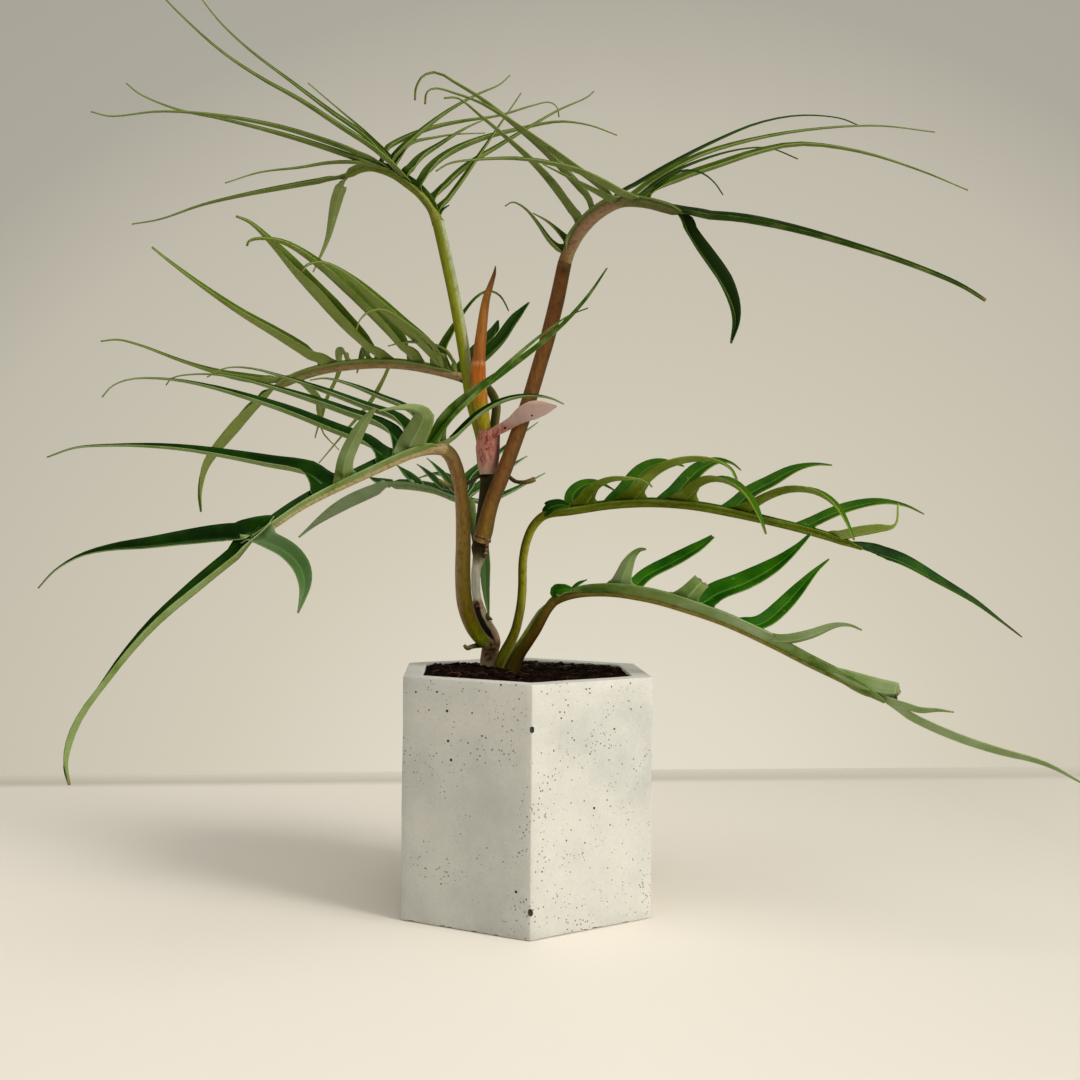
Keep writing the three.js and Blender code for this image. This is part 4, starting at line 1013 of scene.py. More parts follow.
def grown_rib(name, rib, habit):
    """The round rib under the wing: as thick as the petiole at first, then slimmer and set lower."""
    facing, _, ribs, _, radii = rib_stations(rib, habit, [i / RIB_RINGS for i in range(RIB_RINGS + 1)])
    piece = bend(rib_bar, ribs, radii, facing)
    piece.name = piece.data.name = name
    return piece


def leaf_finish(name, dark, light, roughness, vein=0.4, flecks=0.0):
    """Leaf skin: mottled green with a paler midvein, fine side veins and a dry brown tip."""
    leaf = Finish(name, Roughness=roughness, Specular_IOR_Level=0.04)
    along, across = leaf.part("UV", 0), leaf.part("UV", 1)
    tone = leaf.attribute("tone")
    mottle = leaf.math("MULTIPLY", leaf.math("SUBTRACT", leaf.noise(75, 4), 0.5), 1.3)
    share = leaf.node("Clamp", Value=leaf.math("ADD", leaf.math("ADD", mottle, 0.45), tone)).outputs[0]
    darkest = paint(dark[0] * 0.4, dark[1] * 0.6, 0)
    green = leaf.ramp(share, (0.0, darkest), (0.3, paint(*dark)), (1.0, paint(*light)))
    pale_share = leaf.ramp(leaf.math("MULTIPLY", tone, 0.5), (0.5, 0.0), (1.0, 1.0))
    paled = leaf.mix(pale_share, green, paint(*PALE_MIX_COLOUR))
    off = leaf.math("ABSOLUTE", leaf.math("SUBTRACT", across, 0.5))
    midvein = leaf.ramp(off, (0.0, vein), (0.03, vein * 0.6), (0.06, 0.0))
    veined = leaf.mix(midvein, paled, paint(*(min(255, c + VEIN_LIGHTER) for c in light)))
    slanting = leaf.math("ADD", leaf.math("MULTIPLY", along, SIDE_VEINS),
                         leaf.math("MULTIPLY", off, -SIDE_VEIN_SLANT))
    side_veins = leaf.ramp(leaf.math("SINE", slanting), (0.7, 0.0), (1.0, 0.035))
    rows = leaf.mix(side_veins, veined, paint(*light))
    fleck = leaf.math("MULTIPLY", leaf.ramp(leaf.noise(330, 2), (0.66, 0.0), (0.72, 1.0)), flecks)
    flecked = leaf.mix(fleck, rows, paint(*(min(255, c + FLECK_LIGHTER) for c in light)))
    dry = leaf.ramp(along, (0.93, 0.0), (0.985, 0.7))
    relief = leaf.bump(leaf.noise(260, 2), 0.03 * MM, 0.4, leaf.bump(midvein, -0.04 * MM, 0.3))
    leaf.coat(leaf.mix(dry, flecked, paint(*DRY_TIP_COLOUR)), relief)
    return leaf


def petiole_finish(name, stops, left_side_shading, right_side_shading, speckle=SPECKLE, grain=PETIOLE_GRAIN):
    """Petiole skin: its colour changes along it, its left and right sides carry painted light and shade,
    and it is finely speckled along its grain."""
    petiole = Finish(name, Roughness=0.45, Specular_IOR_Level=0.06)
    base = petiole.ramp(petiole.attribute("along"),
                        *((position, paint(*colour)) for position, colour in stops))
    facing = petiole.part("Normal", 0)
    left = petiole.ramp(petiole.math("MULTIPLY", facing, -1.0), (0.1, 0.0), (0.85, 0.75))
    right = petiole.ramp(facing, (0.15, 0.0), (0.85, 0.75))
    # painted light and shade: the sides facing left and right are mixed towards the lit or shaded colour
    # given for each
    lit_and_shaded = petiole.mix(right, petiole.mix(left, base, paint(*left_side_shading)), paint(*right_side_shading))
    streaks = petiole.noise(420, 5, 0.75, stretch=grain)
    specks = petiole.ramp(streaks, (0.47, 0.0), (0.66, 0.6))
    petiole.coat(petiole.mix(specks, lit_and_shaded, paint(*speckle)), petiole.bump(streaks, 0.25 * MM, 0.4))
    return petiole


def leaf(name, petiole_table, rib_table, leaflets, habit, petiole_skin, rib_skin, top, underside, slots):
    """Makes one whole leaf and dresses it: petiole, rib and blade. The petiole runs on a little way
    inside the rib, so that no joint shows between them. The skins are what the finishes take."""
    petiole_slot, blade_slot = slots
    petiole_route, petiole_widths = petiole_table
    rib_route, rib_widths = rib_table
    plug = [a + (b - a) * PLUG_REACH for a, b in zip(rib_route[0], rib_route[1])]
    petiole = rod(petiole_bar, [*petiole_route, plug], [*petiole_widths, rib_widths[0] * PLUG_WIDTH],
                  f"{name}_petiole_skin")
    dress(petiole, petiole_finish(f"{name}_petiole_skin", *petiole_skin), slot=petiole_slot,
          replaces=[f"leaf_{name}_petiole"])
    line = smooth_route([place(*point) for point in (petiole_route[-2], *rib_route)])[STEPS_PER_SPAN:]
    rib = (line, rib_widths)
    dress(grown_rib(f"{name}_rib", rib, habit),
          petiole_finish(f"{name}_rib_skin", *rib_skin, grain=RIB_GRAIN), slot=petiole_slot)
    dress(grown_blade(f"{name}_leaflets", rib, leaflets, habit), leaf_finish(f"{name}_top", *top),
          leaf_finish(f"{name}_underside", *underside, vein=UNDERSIDE_VEIN), slot=blade_slot,
          replaces=[f"leaf_{name}_blade"])


UPPER_LEFT_HABIT = {"facing": (-0.2, -0.42, 0.89), "fold": DEEP_FOLD, "rib": 0.6, "profile": LONG_TAPER}

leaf(
    "upper_left", UPPER_LEFT_PETIOLE, UPPER_LEFT_RIB, UPPER_LEFT_LEAFLETS, UPPER_LEFT_HABIT,
    petiole_skin=([(0, (122, 126, 16)), (0.75, (134, 138, 34)), (1, (112, 116, 34))],
                  (104, 106, 0), (194, 206, 168), (96, 98, 18)),
    rib_skin=([(0, (118, 120, 44)), (0.3, (130, 134, 52)), (1, (112, 128, 52))],
              (110, 112, 30), (124, 128, 58), (92, 92, 24)),
    top=((40, 60, 0), (80, 104, 10), 0.38), underside=((100, 116, 52), (130, 142, 84), 0.6),
    slots=("petiole_pale", "leaf_light"))


# Upper right leaf: an older leaf on a red-brown petiole that bends back over itself, with long
# strap-like leaflets sweeping left and right from a pink-brown rib.
UPPER_RIGHT_PETIOLE = ([
    (481.6, 540.5, -15.5), (484.7, 530, -13.8), (488, 515, -12), (492.4, 500, -11.5), (500.3, 480.5, -11),
    (511.8, 450, -11.5), (529, 400, -11), (541, 360, -8), (547, 340, -6), (557, 300, -1), (565, 262, 5),
], [17, 17, 15.8, 15.2, 15.4, 15, 15, 15, 15, 15, 14])
UPPER_RIGHT_RIB = ([
    (565, 262, 5), (570, 247, 6), (578, 233, 8), (590, 219, 12), (605, 208, 17), (622, 201, 22),
    (645, 202, 28), (668, 208, 34), (682, 213, 38),
], [14, 15, 15, 14, 13, 12, 12, 10])
UPPER_RIGHT_LEAFLETS = [
    (5, [(564, 255, 6), (550, 240, 7), (538, 223, 9), (525, 208, 11), (513, 202, 13), (505, 206, 14)]),
    (5, [(569, 245, 5), (558, 230, 2), (546, 220, 0), (533, 213, -2)]),
    (9, [(578, 232, 8), (575, 215, 10), (560, 192, 15), (540, 168, 20), (510, 140, 28), (480, 115, 35),
         (458, 98, 40), (444, 98, 42)]),
    (8, [(591, 218, 12), (588, 198, 14), (570, 175, 18), (540, 145, 24), (510, 120, 30), (480, 97, 36),
         (455, 82, 41), (437, 72, 45), (423, 76, 48), (416, 88, 50), (415, 100, 51)]),
    (7, [(609, 203, 18), (600, 186, 24), (570, 163, 34), (540, 141, 44), (510, 120, 52), (480, 102, 60),
         (455, 93, 66), (436, 88, 70), (427, 92, 72), (425, 104, 73)]),
    (8, [(636, 202, 26), (615, 188, 38), (585, 172, 52), (555, 163, 64), (520, 158, 74), (480, 159, 84),
         (450, 163, 90), (436, 171, 93)]),
    (6, [(618, 204, 21), (600, 193, 32), (575, 180, 44), (555, 170, 54), (543, 164, 60)]),
    (4, [(616, 197, 17), (640, 181, 8), (680, 158, -4), (720, 138, -14), (760, 122, -22), (800, 115, -28),
         (840, 118, -33), (858, 125, -36)], {"tones": (-0.8, -0.8)}),
    (5, [(632, 196, 20), (660, 175, 10), (700, 154, 0), (760, 137, -12), (820, 128, -22),
         (880, 125.5, -30), (935, 132, -37)]),
    (3, [(640, 196, 23), (665, 176, 16), (700, 160, 8), (740, 149, 0), (770, 148, -6), (798, 159, -10)],
     {"tones": (-0.8, -0.8)}),
    (7, [(646, 196, 26), (680, 177, 20), (720, 163, 14), (760, 150, 8), (800, 143, 2), (860, 151, -6),
         (920, 170, -14), (968, 190, -20)]),
    (3, [(644, 197, 24), (680, 171, 26), (700, 172, 28), (714, 182, 30), (723, 195, 31)],
     {"tones": (-0.6, -0.6)}),
    (10, [(672, 210, 36), (700, 213, 40), (740, 216, 46), (790, 226, 52), (850, 243, 58), (910, 263, 63),
          (960, 284, 67), (986, 300, 69)],
     {"facing": (0.1, -0.5, 0.86), "tones": (-0.5, -0.3),
      "profile": [0.9, 1, 0.95, 0.78, 0.62, 0.52, 0.44, 0.3]}),
    (17, [(680, 214, 38), (696, 236, 43), (712, 258, 48), (726, 280, 53), (735, 305, 57), (736, 322, 59),
          (731, 343, 61)],
     {"flare": 0.4, "profile": [0.6, 0.78, 0.95, 1, 0.95, 0.7, 0.35, 0.08], "tones": (-0.6, -0.6)}),
]
UPPER_RIGHT_HABIT = {"facing": (0.1, -0.42, 0.9), "fold": DEEP_FOLD, "rib": 0.84, "profile": LONG_TAPER}

leaf(
    "upper_right", UPPER_RIGHT_PETIOLE, UPPER_RIGHT_RIB, UPPER_RIGHT_LEAFLETS, UPPER_RIGHT_HABIT,
    petiole_skin=([(0, (158, 122, 76)), (0.04, (134, 104, 40)), (0.18, (112, 76, 38)),
                   (0.6, (122, 80, 42)), (0.93, (106, 66, 32)), (0.96, (66, 44, 14)),
                   (1, (112, 80, 44))], (116, 76, 40), (72, 54, 22)),
    rib_skin=([(0, (118, 88, 52)), (0.3, (160, 124, 98)), (0.5, (152, 124, 92)),
               (0.64, (96, 116, 60)), (1, (56, 84, 32))], (112, 92, 58), (138, 124, 86), (74, 58, 30)),
    top=((44, 60, 0), (74, 92, 12), 0.4), underside=((98, 112, 52), (128, 140, 84), 0.62),
    slots=("petiole_red", "leaf_light"))


# Middle left leaf: its petiole loops round behind the new leaf, and its rib arches out to the left with
# broad two-toned leaflets rising from its upper side and small ones hanging behind.
MIDDLE_LEFT_PETIOLE = ([
    (483, 498, -21), (484, 488, -23.5), (488, 455, -27), (495, 420, -28), (496, 404, -30),
    (490, 391, -33), (478, 382, -36), (464, 379, -39),
], [7, 8, 9, 9, 9, 9, 9, 9])
MIDDLE_LEFT_RIB = ([
    (464, 378, -39), (440, 371, -40), (410, 365, -43), (380, 363, -46), (350, 364.8, -50),
    (320, 369.5, -54), (295, 377.5, -58), (275, 387, -62),
], [10, 11, 11, 11, 11, 11, 10])
# painted shade: the leaflets that reach back behind the stem are darkened
SHADED_BEHIND = {"profile": [0.6, 0.9, 1, 1, 0.95, 0.8, 0.12], "tones": (-0.6, -0.6)}
MIDDLE_LEFT_LEAFLETS = [
    (13, [(275, 389, -62), (250, 408, -67), (232, 428, -73), (214, 450, -79), (204, 468, -83),
          (200, 490, -86), (201, 512, -88)]),
    (10, [(287, 383, -59), (262, 379, -62), (220, 372, -66), (180, 360, -70), (140, 345, -74),
          (118, 339.5, -76), (101, 341, -78)],
     {"facing": (-0.2, -0.2, 0.96), "profile": [0.7, 1, 0.9, 0.55, 0.34, 0.26, 0.2, 0.15, 0.1]}),
    (13, [(330, 369, -53), (312, 354, -46), (280, 334, -38), (240, 311, -30), (200, 284, -23),
          (168, 260, -18), (152, 247, -15)],
     {"profile": [0.7, 1, 0.92, 0.74, 0.56, 0.42, 0.3, 0.2, 0.1]}),
    (16, [(385, 364, -45), (372, 348, -40), (345, 320, -33), (320, 293, -27), (295, 267, -21),
          (270, 240, -16), (250, 222, -12), (236, 216, -10)]),
    (14, [(415, 367, -42), (404, 344, -36), (375, 312, -29), (345, 284, -23), (315, 260, -17),
          (285, 242, -12), (262, 238, -9), (249, 241, -7), (247, 246, -7)],
     {"profile": [0.5, 0.9, 1, 1, 0.9, 0.66, 0.46, 0.26, 0.1]}),
    (13, [(440, 372, -40), (432, 351, -33), (404, 324, -26), (374, 297, -19), (345, 273, -13),
          (322, 262, -9), (307, 265, -7), (302, 272, -6)],
     {"profile": [0.5, 0.9, 1, 1, 0.9, 0.7, 0.36, 0.2, 0.1]}),
    (4, [(456, 377, -39.5), (448, 352, -34), (425, 343, -30), (405, 342, -27), (388, 346, -25)]),
    (4, [(445, 372, -40), (430, 342, -24), (408, 324, -18), (385, 310, -14), (370, 311, -12),
         (360, 320, -11), (356, 331, -10)]),
    (8, [(348, 366, -51), (346, 351, -60), (339, 352, -70), (339, 370, -78), (331, 388, -84)],
     {"facing": (0.3, 0.6, 0.75), "tones": (0.3, 0.3)}),
    (7, [(370, 364, -48), (366, 349, -58), (361, 358, -68), (357, 373, -75)],
     {"facing": (0.3, 0.6, 0.75), "tones": (-0.3, -0.3)}),
    (9, [(296, 382, -59), (306, 387, -66), (316, 398, -73), (320, 415, -79), (315, 438, -84)]),
    (3, [(392, 365, -46), (372, 400, -72), (345, 432, -88), (319, 463, -98)]),
    (3, [(345, 368, -52), (325, 405, -78), (322, 430, -86), (339, 450, -90)]),
    (11, [(456, 377, -40), (475, 362, -45), (500, 338, -51), (515, 317, -57), (529, 302, -63)],
     SHADED_BEHIND),
    (10, [(454, 376, -40), (474, 350, -50), (492, 332, -58), (498, 320, -64)], SHADED_BEHIND),
    (8, [(448, 375, -41), (441, 352, -46), (450, 332, -51), (464, 311, -57), (478, 295, -62),
         (490, 290, -66), (501, 296, -70), (509, 311, -73)],
     {"profile": [0.8, 1, 1, 0.6, 0.36, 0.3, 0.25, 0.1], "tones": (-0.4, -0.4)}),
]
MIDDLE_LEFT_HABIT = {"facing": (-0.2, -0.42, 0.89), "fold": DEEP_FOLD, "rib": 0.7, "flare": 0.4,
                     "profile": [0.5, 0.66, 0.94, 1, 0.94, 0.77, 0.5, 0.26, 0.1]}

leaf(
    "middle_left", MIDDLE_LEFT_PETIOLE, MIDDLE_LEFT_RIB, MIDDLE_LEFT_LEAFLETS, MIDDLE_LEFT_HABIT,
    petiole_skin=([(0, (64, 66, 20)), (1, (56, 54, 10))], (44, 44, 4), (104, 98, 44)),
    rib_skin=([(0, (158, 132, 92)), (0.6, (150, 128, 82)), (1, (124, 128, 66))],
              (136, 106, 72), (160, 130, 96)),
    top=((66, 92, 6), (102, 122, 34), 0.4), underside=((118, 132, 62), (138, 150, 88), 0.62),
    slots=("petiole_olive", "leaf_mid"))


# Front left leaf: the largest and darkest leaf, reaching forward to the left, on a brown-olive petiole
# that is pinkish where it bends. Its leaflets are channelled, dark inside and pale grey-green below.
FRONT_LEFT_PETIOLE = ([
    (489, 644, -16), (481, 638.5, -11), (472.5, 626, -7), (465, 604, -3), (462.8, 575, 0), (463.3, 540, 2),
    (462.3, 505, 5), (460, 485, 8), (456, 468, 11), (450.5, 455.5, 13), (444, 449.5, 15),
], [11, 14, 15.5, 16, 15.5, 15, 14, 13.5, 14.5, 14.5, 14])
FRONT_LEFT_RIB = ([
    (444, 449.5, 15), (434, 447.5, 18), (415, 450, 23), (390, 460, 30), (360, 474, 39), (330, 488, 48),
    (300, 504, 57), (272, 523, 66), (250, 538, 72),
], [14, 16, 16, 15, 15, 14, 14, 12])
WHIP = {"facing": (-0.1, -0.22, 0.97), "profile": WHIP_TAPER}
FRONT_LEFT_LEAFLETS = [
    (15, [(262, 531, 69), (245, 542, 74), (225, 558, 78), (190, 587, 86), (155, 618, 93), (125, 652, 99),
          (100, 686, 104), (85, 706, 106), (72, 730, 108), (66, 757, 109), (70, 785, 110)],
     {"twist": 90, "facing": (-0.1, -0.34, 0.93),
      "profile": [1.2, 1.05, 1, 0.85, 0.66, 0.46, 0.52, 0.16]}),
    (10, [(436, 446, 18), (447, 417, 17), (470, 395, 15), (500, 374, 13), (535, 348, 11), (565, 322, 9),
          (588, 296, 8), (607, 268, 7)],
     {"facing": (-0.2, 0.45, 0.85), "tones": (-0.4, -0.4),
      "profile": [0.9, 1, 0.85, 0.6, 0.44, 0.36, 0.28, 0.1]}),
    (4, [(432, 447, 19), (450, 420, 20), (480, 390, 20), (512, 360, 19), (545, 332, 17), (570, 315, 16),
         (588, 308, 15)], {"facing": (-0.2, 0.45, 0.85), "tones": (-0.4, -0.4)}),
    (6, [(443, 447, 16), (458, 432, 15), (480, 412, 15), (505, 399, 16), (530, 395, 17), (550, 398, 18),
         (564, 404, 19)]),
    (24, [(408, 454, 26), (413, 440, 30), (420, 427, 36), (424, 415, 42), (413, 408, 48), (396, 408, 53),
          (378, 411, 57)],
     {"facing": (0.1, 0.8, 0.5), "fold": SHALLOW_FOLD, "profile": [1, 1, 0.95, 0.8, 0.4, 0.16, 0.06]}),
    (15, [(343, 483, 44), (345, 462, 50), (354, 440, 57), (365, 421, 64), (375, 408, 69)],
     {"facing": (0, 0.85, 0.5), "fold": SHALLOW_FOLD, "profile": [1, 1, 0.95, 0.85, 0.6, 0.2]}),
    (14, [(326, 489, 49), (305, 468, 44), (270, 461, 40), (230, 454, 36), (190, 448, 33), (150, 445, 31),
          (110, 445, 30), (75, 447.5, 29), (47, 457, 28)],
     {"profile": [0.9, 1, 0.85, 0.68, 0.5, 0.36, 0.2, 0.12, 0.06]}),
    (11, [(388, 461, 31), (366, 441, 27), (330, 426, 22), (290, 410, 18), (250, 397, 14), (210, 386, 11),
          (170, 379, 8), (130, 379, 6), (112, 386, 5), (102, 397, 4)],
     {"facing": (-0.1, -0.3, 0.95), "profile": WHIP_TAPER}),
    (10, [(405, 454, 26), (388, 427, 21), (350, 412, 16), (310, 398, 12), (270, 386, 8), (230, 376, 5),
          (195, 374, 2), (172, 378, 0), (166, 385, -1)], WHIP),
    (9, [(418, 450, 23), (400, 419, 17), (365, 405, 12), (325, 390, 8), (285, 377, 4), (250, 368, 1),
         (225, 368, -1), (207, 377, -2)], WHIP),
    (6, [(430, 447, 19), (412, 411, 12), (380, 396, 8), (350, 384, 4), (325, 378, 1), (310, 380, 0)],
     {"facing": (-0.1, -0.22, 0.97)}),
    (18, [(262, 531, 69), (244, 532, 70), (225, 532, 66), (190, 536, 60), (150, 542, 55), (110, 547, 51),
          (80, 555, 48), (55, 570, 46), (38, 588, 45)],
     {"facing": (-0.1, -0.75, 0.65), "profile": [1, 1, 0.95, 0.8, 0.64, 0.44, 0.22, 0.1, 0.06]}),
    (18, [(258, 536, 72), (272, 541, 80), (290, 552, 87), (302, 568, 93), (305, 585, 97), (302, 600, 99),
          (298, 613, 100)],
     {"facing": (0.3, -0.75, 0.6), "fold": SHALLOW_FOLD, "flare": 0.5,
      "tones": (1.7, 1.5, 1.3, 1.2, 1.3, 1.7),
      "profile": [1.2, 1.05, 1, 0.95, 0.9, 0.8, 0.6, 0.3, 0.06]}),
]
FRONT_LEFT_HABIT = {"facing": (-0.1, -0.42, 0.9), "fold": DEEP_FOLD, "rib": 0.4, "profile": FULL_TAPER}

leaf(
    "front_left", FRONT_LEFT_PETIOLE, FRONT_LEFT_RIB, FRONT_LEFT_LEAFLETS, FRONT_LEFT_HABIT,
    petiole_skin=([(0, (226, 200, 160)), (0.035, (206, 200, 110)), (0.07, (130, 150, 6)),
                   (0.11, (112, 116, 0)), (0.19, (100, 84, 4)), (0.45, (104, 84, 28)),
                   (0.75, (116, 84, 38)), (0.92, (124, 92, 54)), (1, (134, 122, 66))],
                  (168, 140, 98), (50, 44, 0)),
    rib_skin=([(0, (150, 126, 88)), (0.3, (150, 136, 88)), (1, (140, 148, 90))],
              (136, 122, 72), (156, 138, 98)),
    top=((10, 38, 0), (32, 70, 0), 0.36), underside=((108, 127, 64), (146, 160, 116), 0.62),
    slots=("petiole_brown", "leaf_dark"))


# Middle right leaf: an arching leaf on a yellow-green petiole that rises from the compost and bends
# flat to the right. Its leaflets are broad at the foot and curl over to fine brown tips.
MIDDLE_RIGHT_PETIOLE = ([
    (490, 695, -14), (498, 669, -13.5), (504, 654, -12.5), (511, 641, -11), (515.5, 630, -10),
    (518.3, 619, -9), (521, 604, -8.5), (522.3, 588, -8), (523, 560, -7), (527, 540, -6), (534, 525, -5),
    (545, 515, -4),
], [11, 11, 11, 10.5, 9.6, 9.3, 9, 8.8, 8.6, 8.6, 8.6, 8.8])
MIDDLE_RIGHT_RIB = ([
    (545, 515, -4), (570, 510.8, -3), (610, 504.6, -2), (650, 502.5, -1), (690, 505, 0), (730, 512, 0),
    (770, 521, 0), (810, 531, -1), (845, 542, -3), (862, 549, -4),
], [9, 10, 10, 10, 10, 9, 9, 8])
LOBE = {"facing": (0, -0.9, 0.35), "fold": SHALLOW_FOLD, "flare": 0}
CURLED_OVER = {"facing": (-0.2, 0.1, 0.97), "tones": (-0.2, 0.2, 0.4)}
MIDDLE_RIGHT_LEAFLETS = [
    (13, [(542, 512, -2), (547, 508.5, 1), (554.5, 505, 2), (562, 504, 2), (569.5, 506.5, 2)],
     {**LOBE, "tones": (-0.3, -0.3), "profile": [0.5, 1, 1, 0.8, 0.3]}),
    (10, [(575, 507, -3), (573, 494, -8), (583, 484, -13), (598, 482, -18), (616, 491, -22)]),
    (7, [(582, 506, -3), (593, 490, 3), (608, 480, 8), (628, 478, 12), (645, 481, 16), (652, 487, 18)],
     CURLED_OVER),
    (16, [(618, 502, -2), (630, 485, -8), (645, 468, -14), (662, 461, -19), (684, 466, -24)]),
    (9, [(630, 501, -1), (646, 481, 5), (665, 466, 10), (690, 459, 14), (715, 460, 18), (730, 468, 21),
         (737, 480, 23)], CURLED_OVER),
    (14, [(668, 502, -1), (682, 485, -7), (700, 467, -13), (718, 460, -18), (732, 463, -22),
          (741, 470, -25)]),
    (9, [(684, 503, 0), (695, 485, 6), (712, 477, 11), (730, 480, 16), (747, 493, 20), (758, 512, 23),
         (766, 534, 25)], CURLED_OVER),
    (12, [(732, 512, 0), (748, 493, -6), (770, 481, -12), (795, 468, -17), (815, 464, -21),
          (832, 465, -24)]),
    (9, [(745, 515, 0), (765, 498, 6), (790, 489, 11), (815, 491, 16), (834, 503, 20), (846, 521, 23),
         (854, 540, 25)], CURLED_OVER),
    (9, [(802, 528, -1), (822, 517, -7), (850, 506, -12), (880, 501, -17), (905, 505, -21),
         (924, 514, -24)]),
    (9, [(835, 538, -2), (855, 532, 4), (878, 528, 9), (895, 525, 13), (898, 503, 15)],
     {"facing": (0, 0.6, 0.8), "tones": (1.2, 1.1, 0.7),
      "profile": [0.6, 1, 1.1, 1.1, 1, 0.8, 0.16, 0.12, 0.1]}),
    (13, [(862, 549, -4), (885, 553, -5), (905, 560, -6), (940, 580, -8), (975, 601, -10),
          (1000, 620, -12), (1022, 637, -13)],
     {"tones": (-0.3, -0.3), "profile": [0.7, 1, 1, 0.86, 0.66, 0.5, 0.34, 0.16, 0.06]}),
]
MIDDLE_RIGHT_HABIT = {"facing": (0.1, -0.6, 0.8), "fold": SHALLOW_FOLD, "rib": 0.6, "profile": FULL_TAPER}

leaf(
    "middle_right", MIDDLE_RIGHT_PETIOLE, MIDDLE_RIGHT_RIB, MIDDLE_RIGHT_LEAFLETS, MIDDLE_RIGHT_HABIT,
    petiole_skin=([(0, (60, 62, 0)), (0.2, (124, 122, 14)), (1, (104, 104, 2))],
                  (24, 24, 0), (150, 142, 70)),
    rib_skin=([(0, (94, 100, 10)), (1, (102, 116, 30))], (80, 86, 0), (116, 116, 36)),
    top=((24, 64, 0), (56, 94, 0), 0.44, 0.3, 0.15), underside=((84, 98, 8), (132, 150, 64), 0.6),
    slots=("petiole_yellow", "leaf_rich"))


# Lower right leaf: the lowest leaf, on a short leaning petiole with a pale wing along its upper side.
# Some of its leaflets are broad and rich green, and two are torn short with brown edges.
LOWER_RIGHT_PETIOLE = ([
    (505, 715, -5), (510.5, 673, -4.5), (517, 655, -3), (528, 640, 0), (535.5, 630, 2), (541.3, 620, 4),
    (547, 610, 6), (555, 600.5, 8),
], [18, 18.5, 16, 13, 11, 10, 9.6, 10])
PETIOLE_EDGE = ([
    (503, 668, -1), (512, 651, 0), (521, 640, 1), (528.5, 629, 2), (534, 620.5, 3), (540, 611.5, 5),
    (547, 603.5, 7),
], [1.5, 3, 4.5, 5, 5, 4.5, 1.5])
LOWER_RIGHT_RIB = ([
    (555, 600.5, 8), (575, 592.5, 11), (610, 590, 15), (650, 595.5, 19), (690, 607, 23), (730, 621.5, 27),
    (770, 640, 31), (810, 661, 35), (850, 681, 39), (885, 702, 42),
], [10.5, 13, 15, 15, 14, 14, 13, 12, 9])
LOWER_RIGHT_LEAFLETS = [
    (8, [(885, 702, 42), (920, 721, 44), (960, 738, 47), (1000, 751, 49), (1035, 760, 51),
         (1055, 768, 52), (1075, 779, 53), (1095, 790, 54)],
     {"facing": (0.15, 0.4, 0.9), "tones": (0.2, 0.2)}),
    (11, [(556, 596, 11), (558.5, 591, 13), (564, 588.5, 14), (572, 589.5, 14)],
     {**LOBE, "profile": [0.8, 1, 0.9, 0.4]}),
    (4, [(568, 588, 10), (577, 584.5, 10), (587, 579.5, 10)], {**LOBE, "profile": [0.8, 1, 0.8, 0.1]}),
    (15, [(620, 592, 15), (624, 574, 19), (631, 558, 23), (639, 550, 26), (646, 549, 28)],
     {"facing": (0.1, 0.9, 0.35), "fold": SHALLOW_FOLD, "profile": [1.1, 1, 0.85, 0.45, 0.12]}),
    (12, [(630, 591, 14), (645, 575, 8), (675, 559, 2), (700, 545, -3), (713, 536, -6)],
     {"profile": [0.6, 0.9, 1, 1, 0.8, 0.3]}),
    (19, [(681, 606, 23), (690, 594, 25), (703, 580, 27)],
     {"facing": (0.1, 0.9, 0.3), "fold": SHALLOW_FOLD, "flare": 0.8, "torn": True,
      "profile": [1.4, 1.15, 1, 0.95, 0.9]}),
    (18, [(696, 609, 22), (715, 592, 19), (745, 580, 16), (775, 564, 13), (797, 547, 11), (811, 533, 9)]),
    (15, [(742, 629, 27), (765, 620, 22), (782, 606, 18), (800, 587, 14), (815, 571, 11), (829, 559, 8)]),
    (11, [(762, 640, 31), (785, 639, 36), (810, 634, 41), (835, 625, 45), (850, 625, 48), (862, 630, 50)],
     {"facing": (0.1, 0.75, 0.65), "tones": (0.15, 0.15)}),
    (21, [(815, 661, 36), (843, 675.5, 39), (872, 687, 41), (901, 691.5, 43)],
     {"facing": (0.1, 0.85, 0.45), "fold": SHALLOW_FOLD, "flare": 0, "torn": True,
      "profile": [0.15, 0.36, 0.62, 0.86, 1, 0.95, 0.8]}),
    (7, [(892, 702, 42), (906, 706, 45), (920, 710, 47), (938, 710, 49), (954, 712, 51)],
     {"facing": (0.1, 0.5, 0.85), "tones": (0.1, 0.1)}),
]
LOWER_RIGHT_HABIT = {
    "facing": (0.15, -0.6, 0.8), "fold": SHALLOW_FOLD, "rib": 0.34, "profile": FULL_TAPER,
    "wing": (0.02, 1), "wing_tones": (-0.27, -0.22, -0.15, 0.1, 0.4, -0.1, -0.25, -0.2),
}

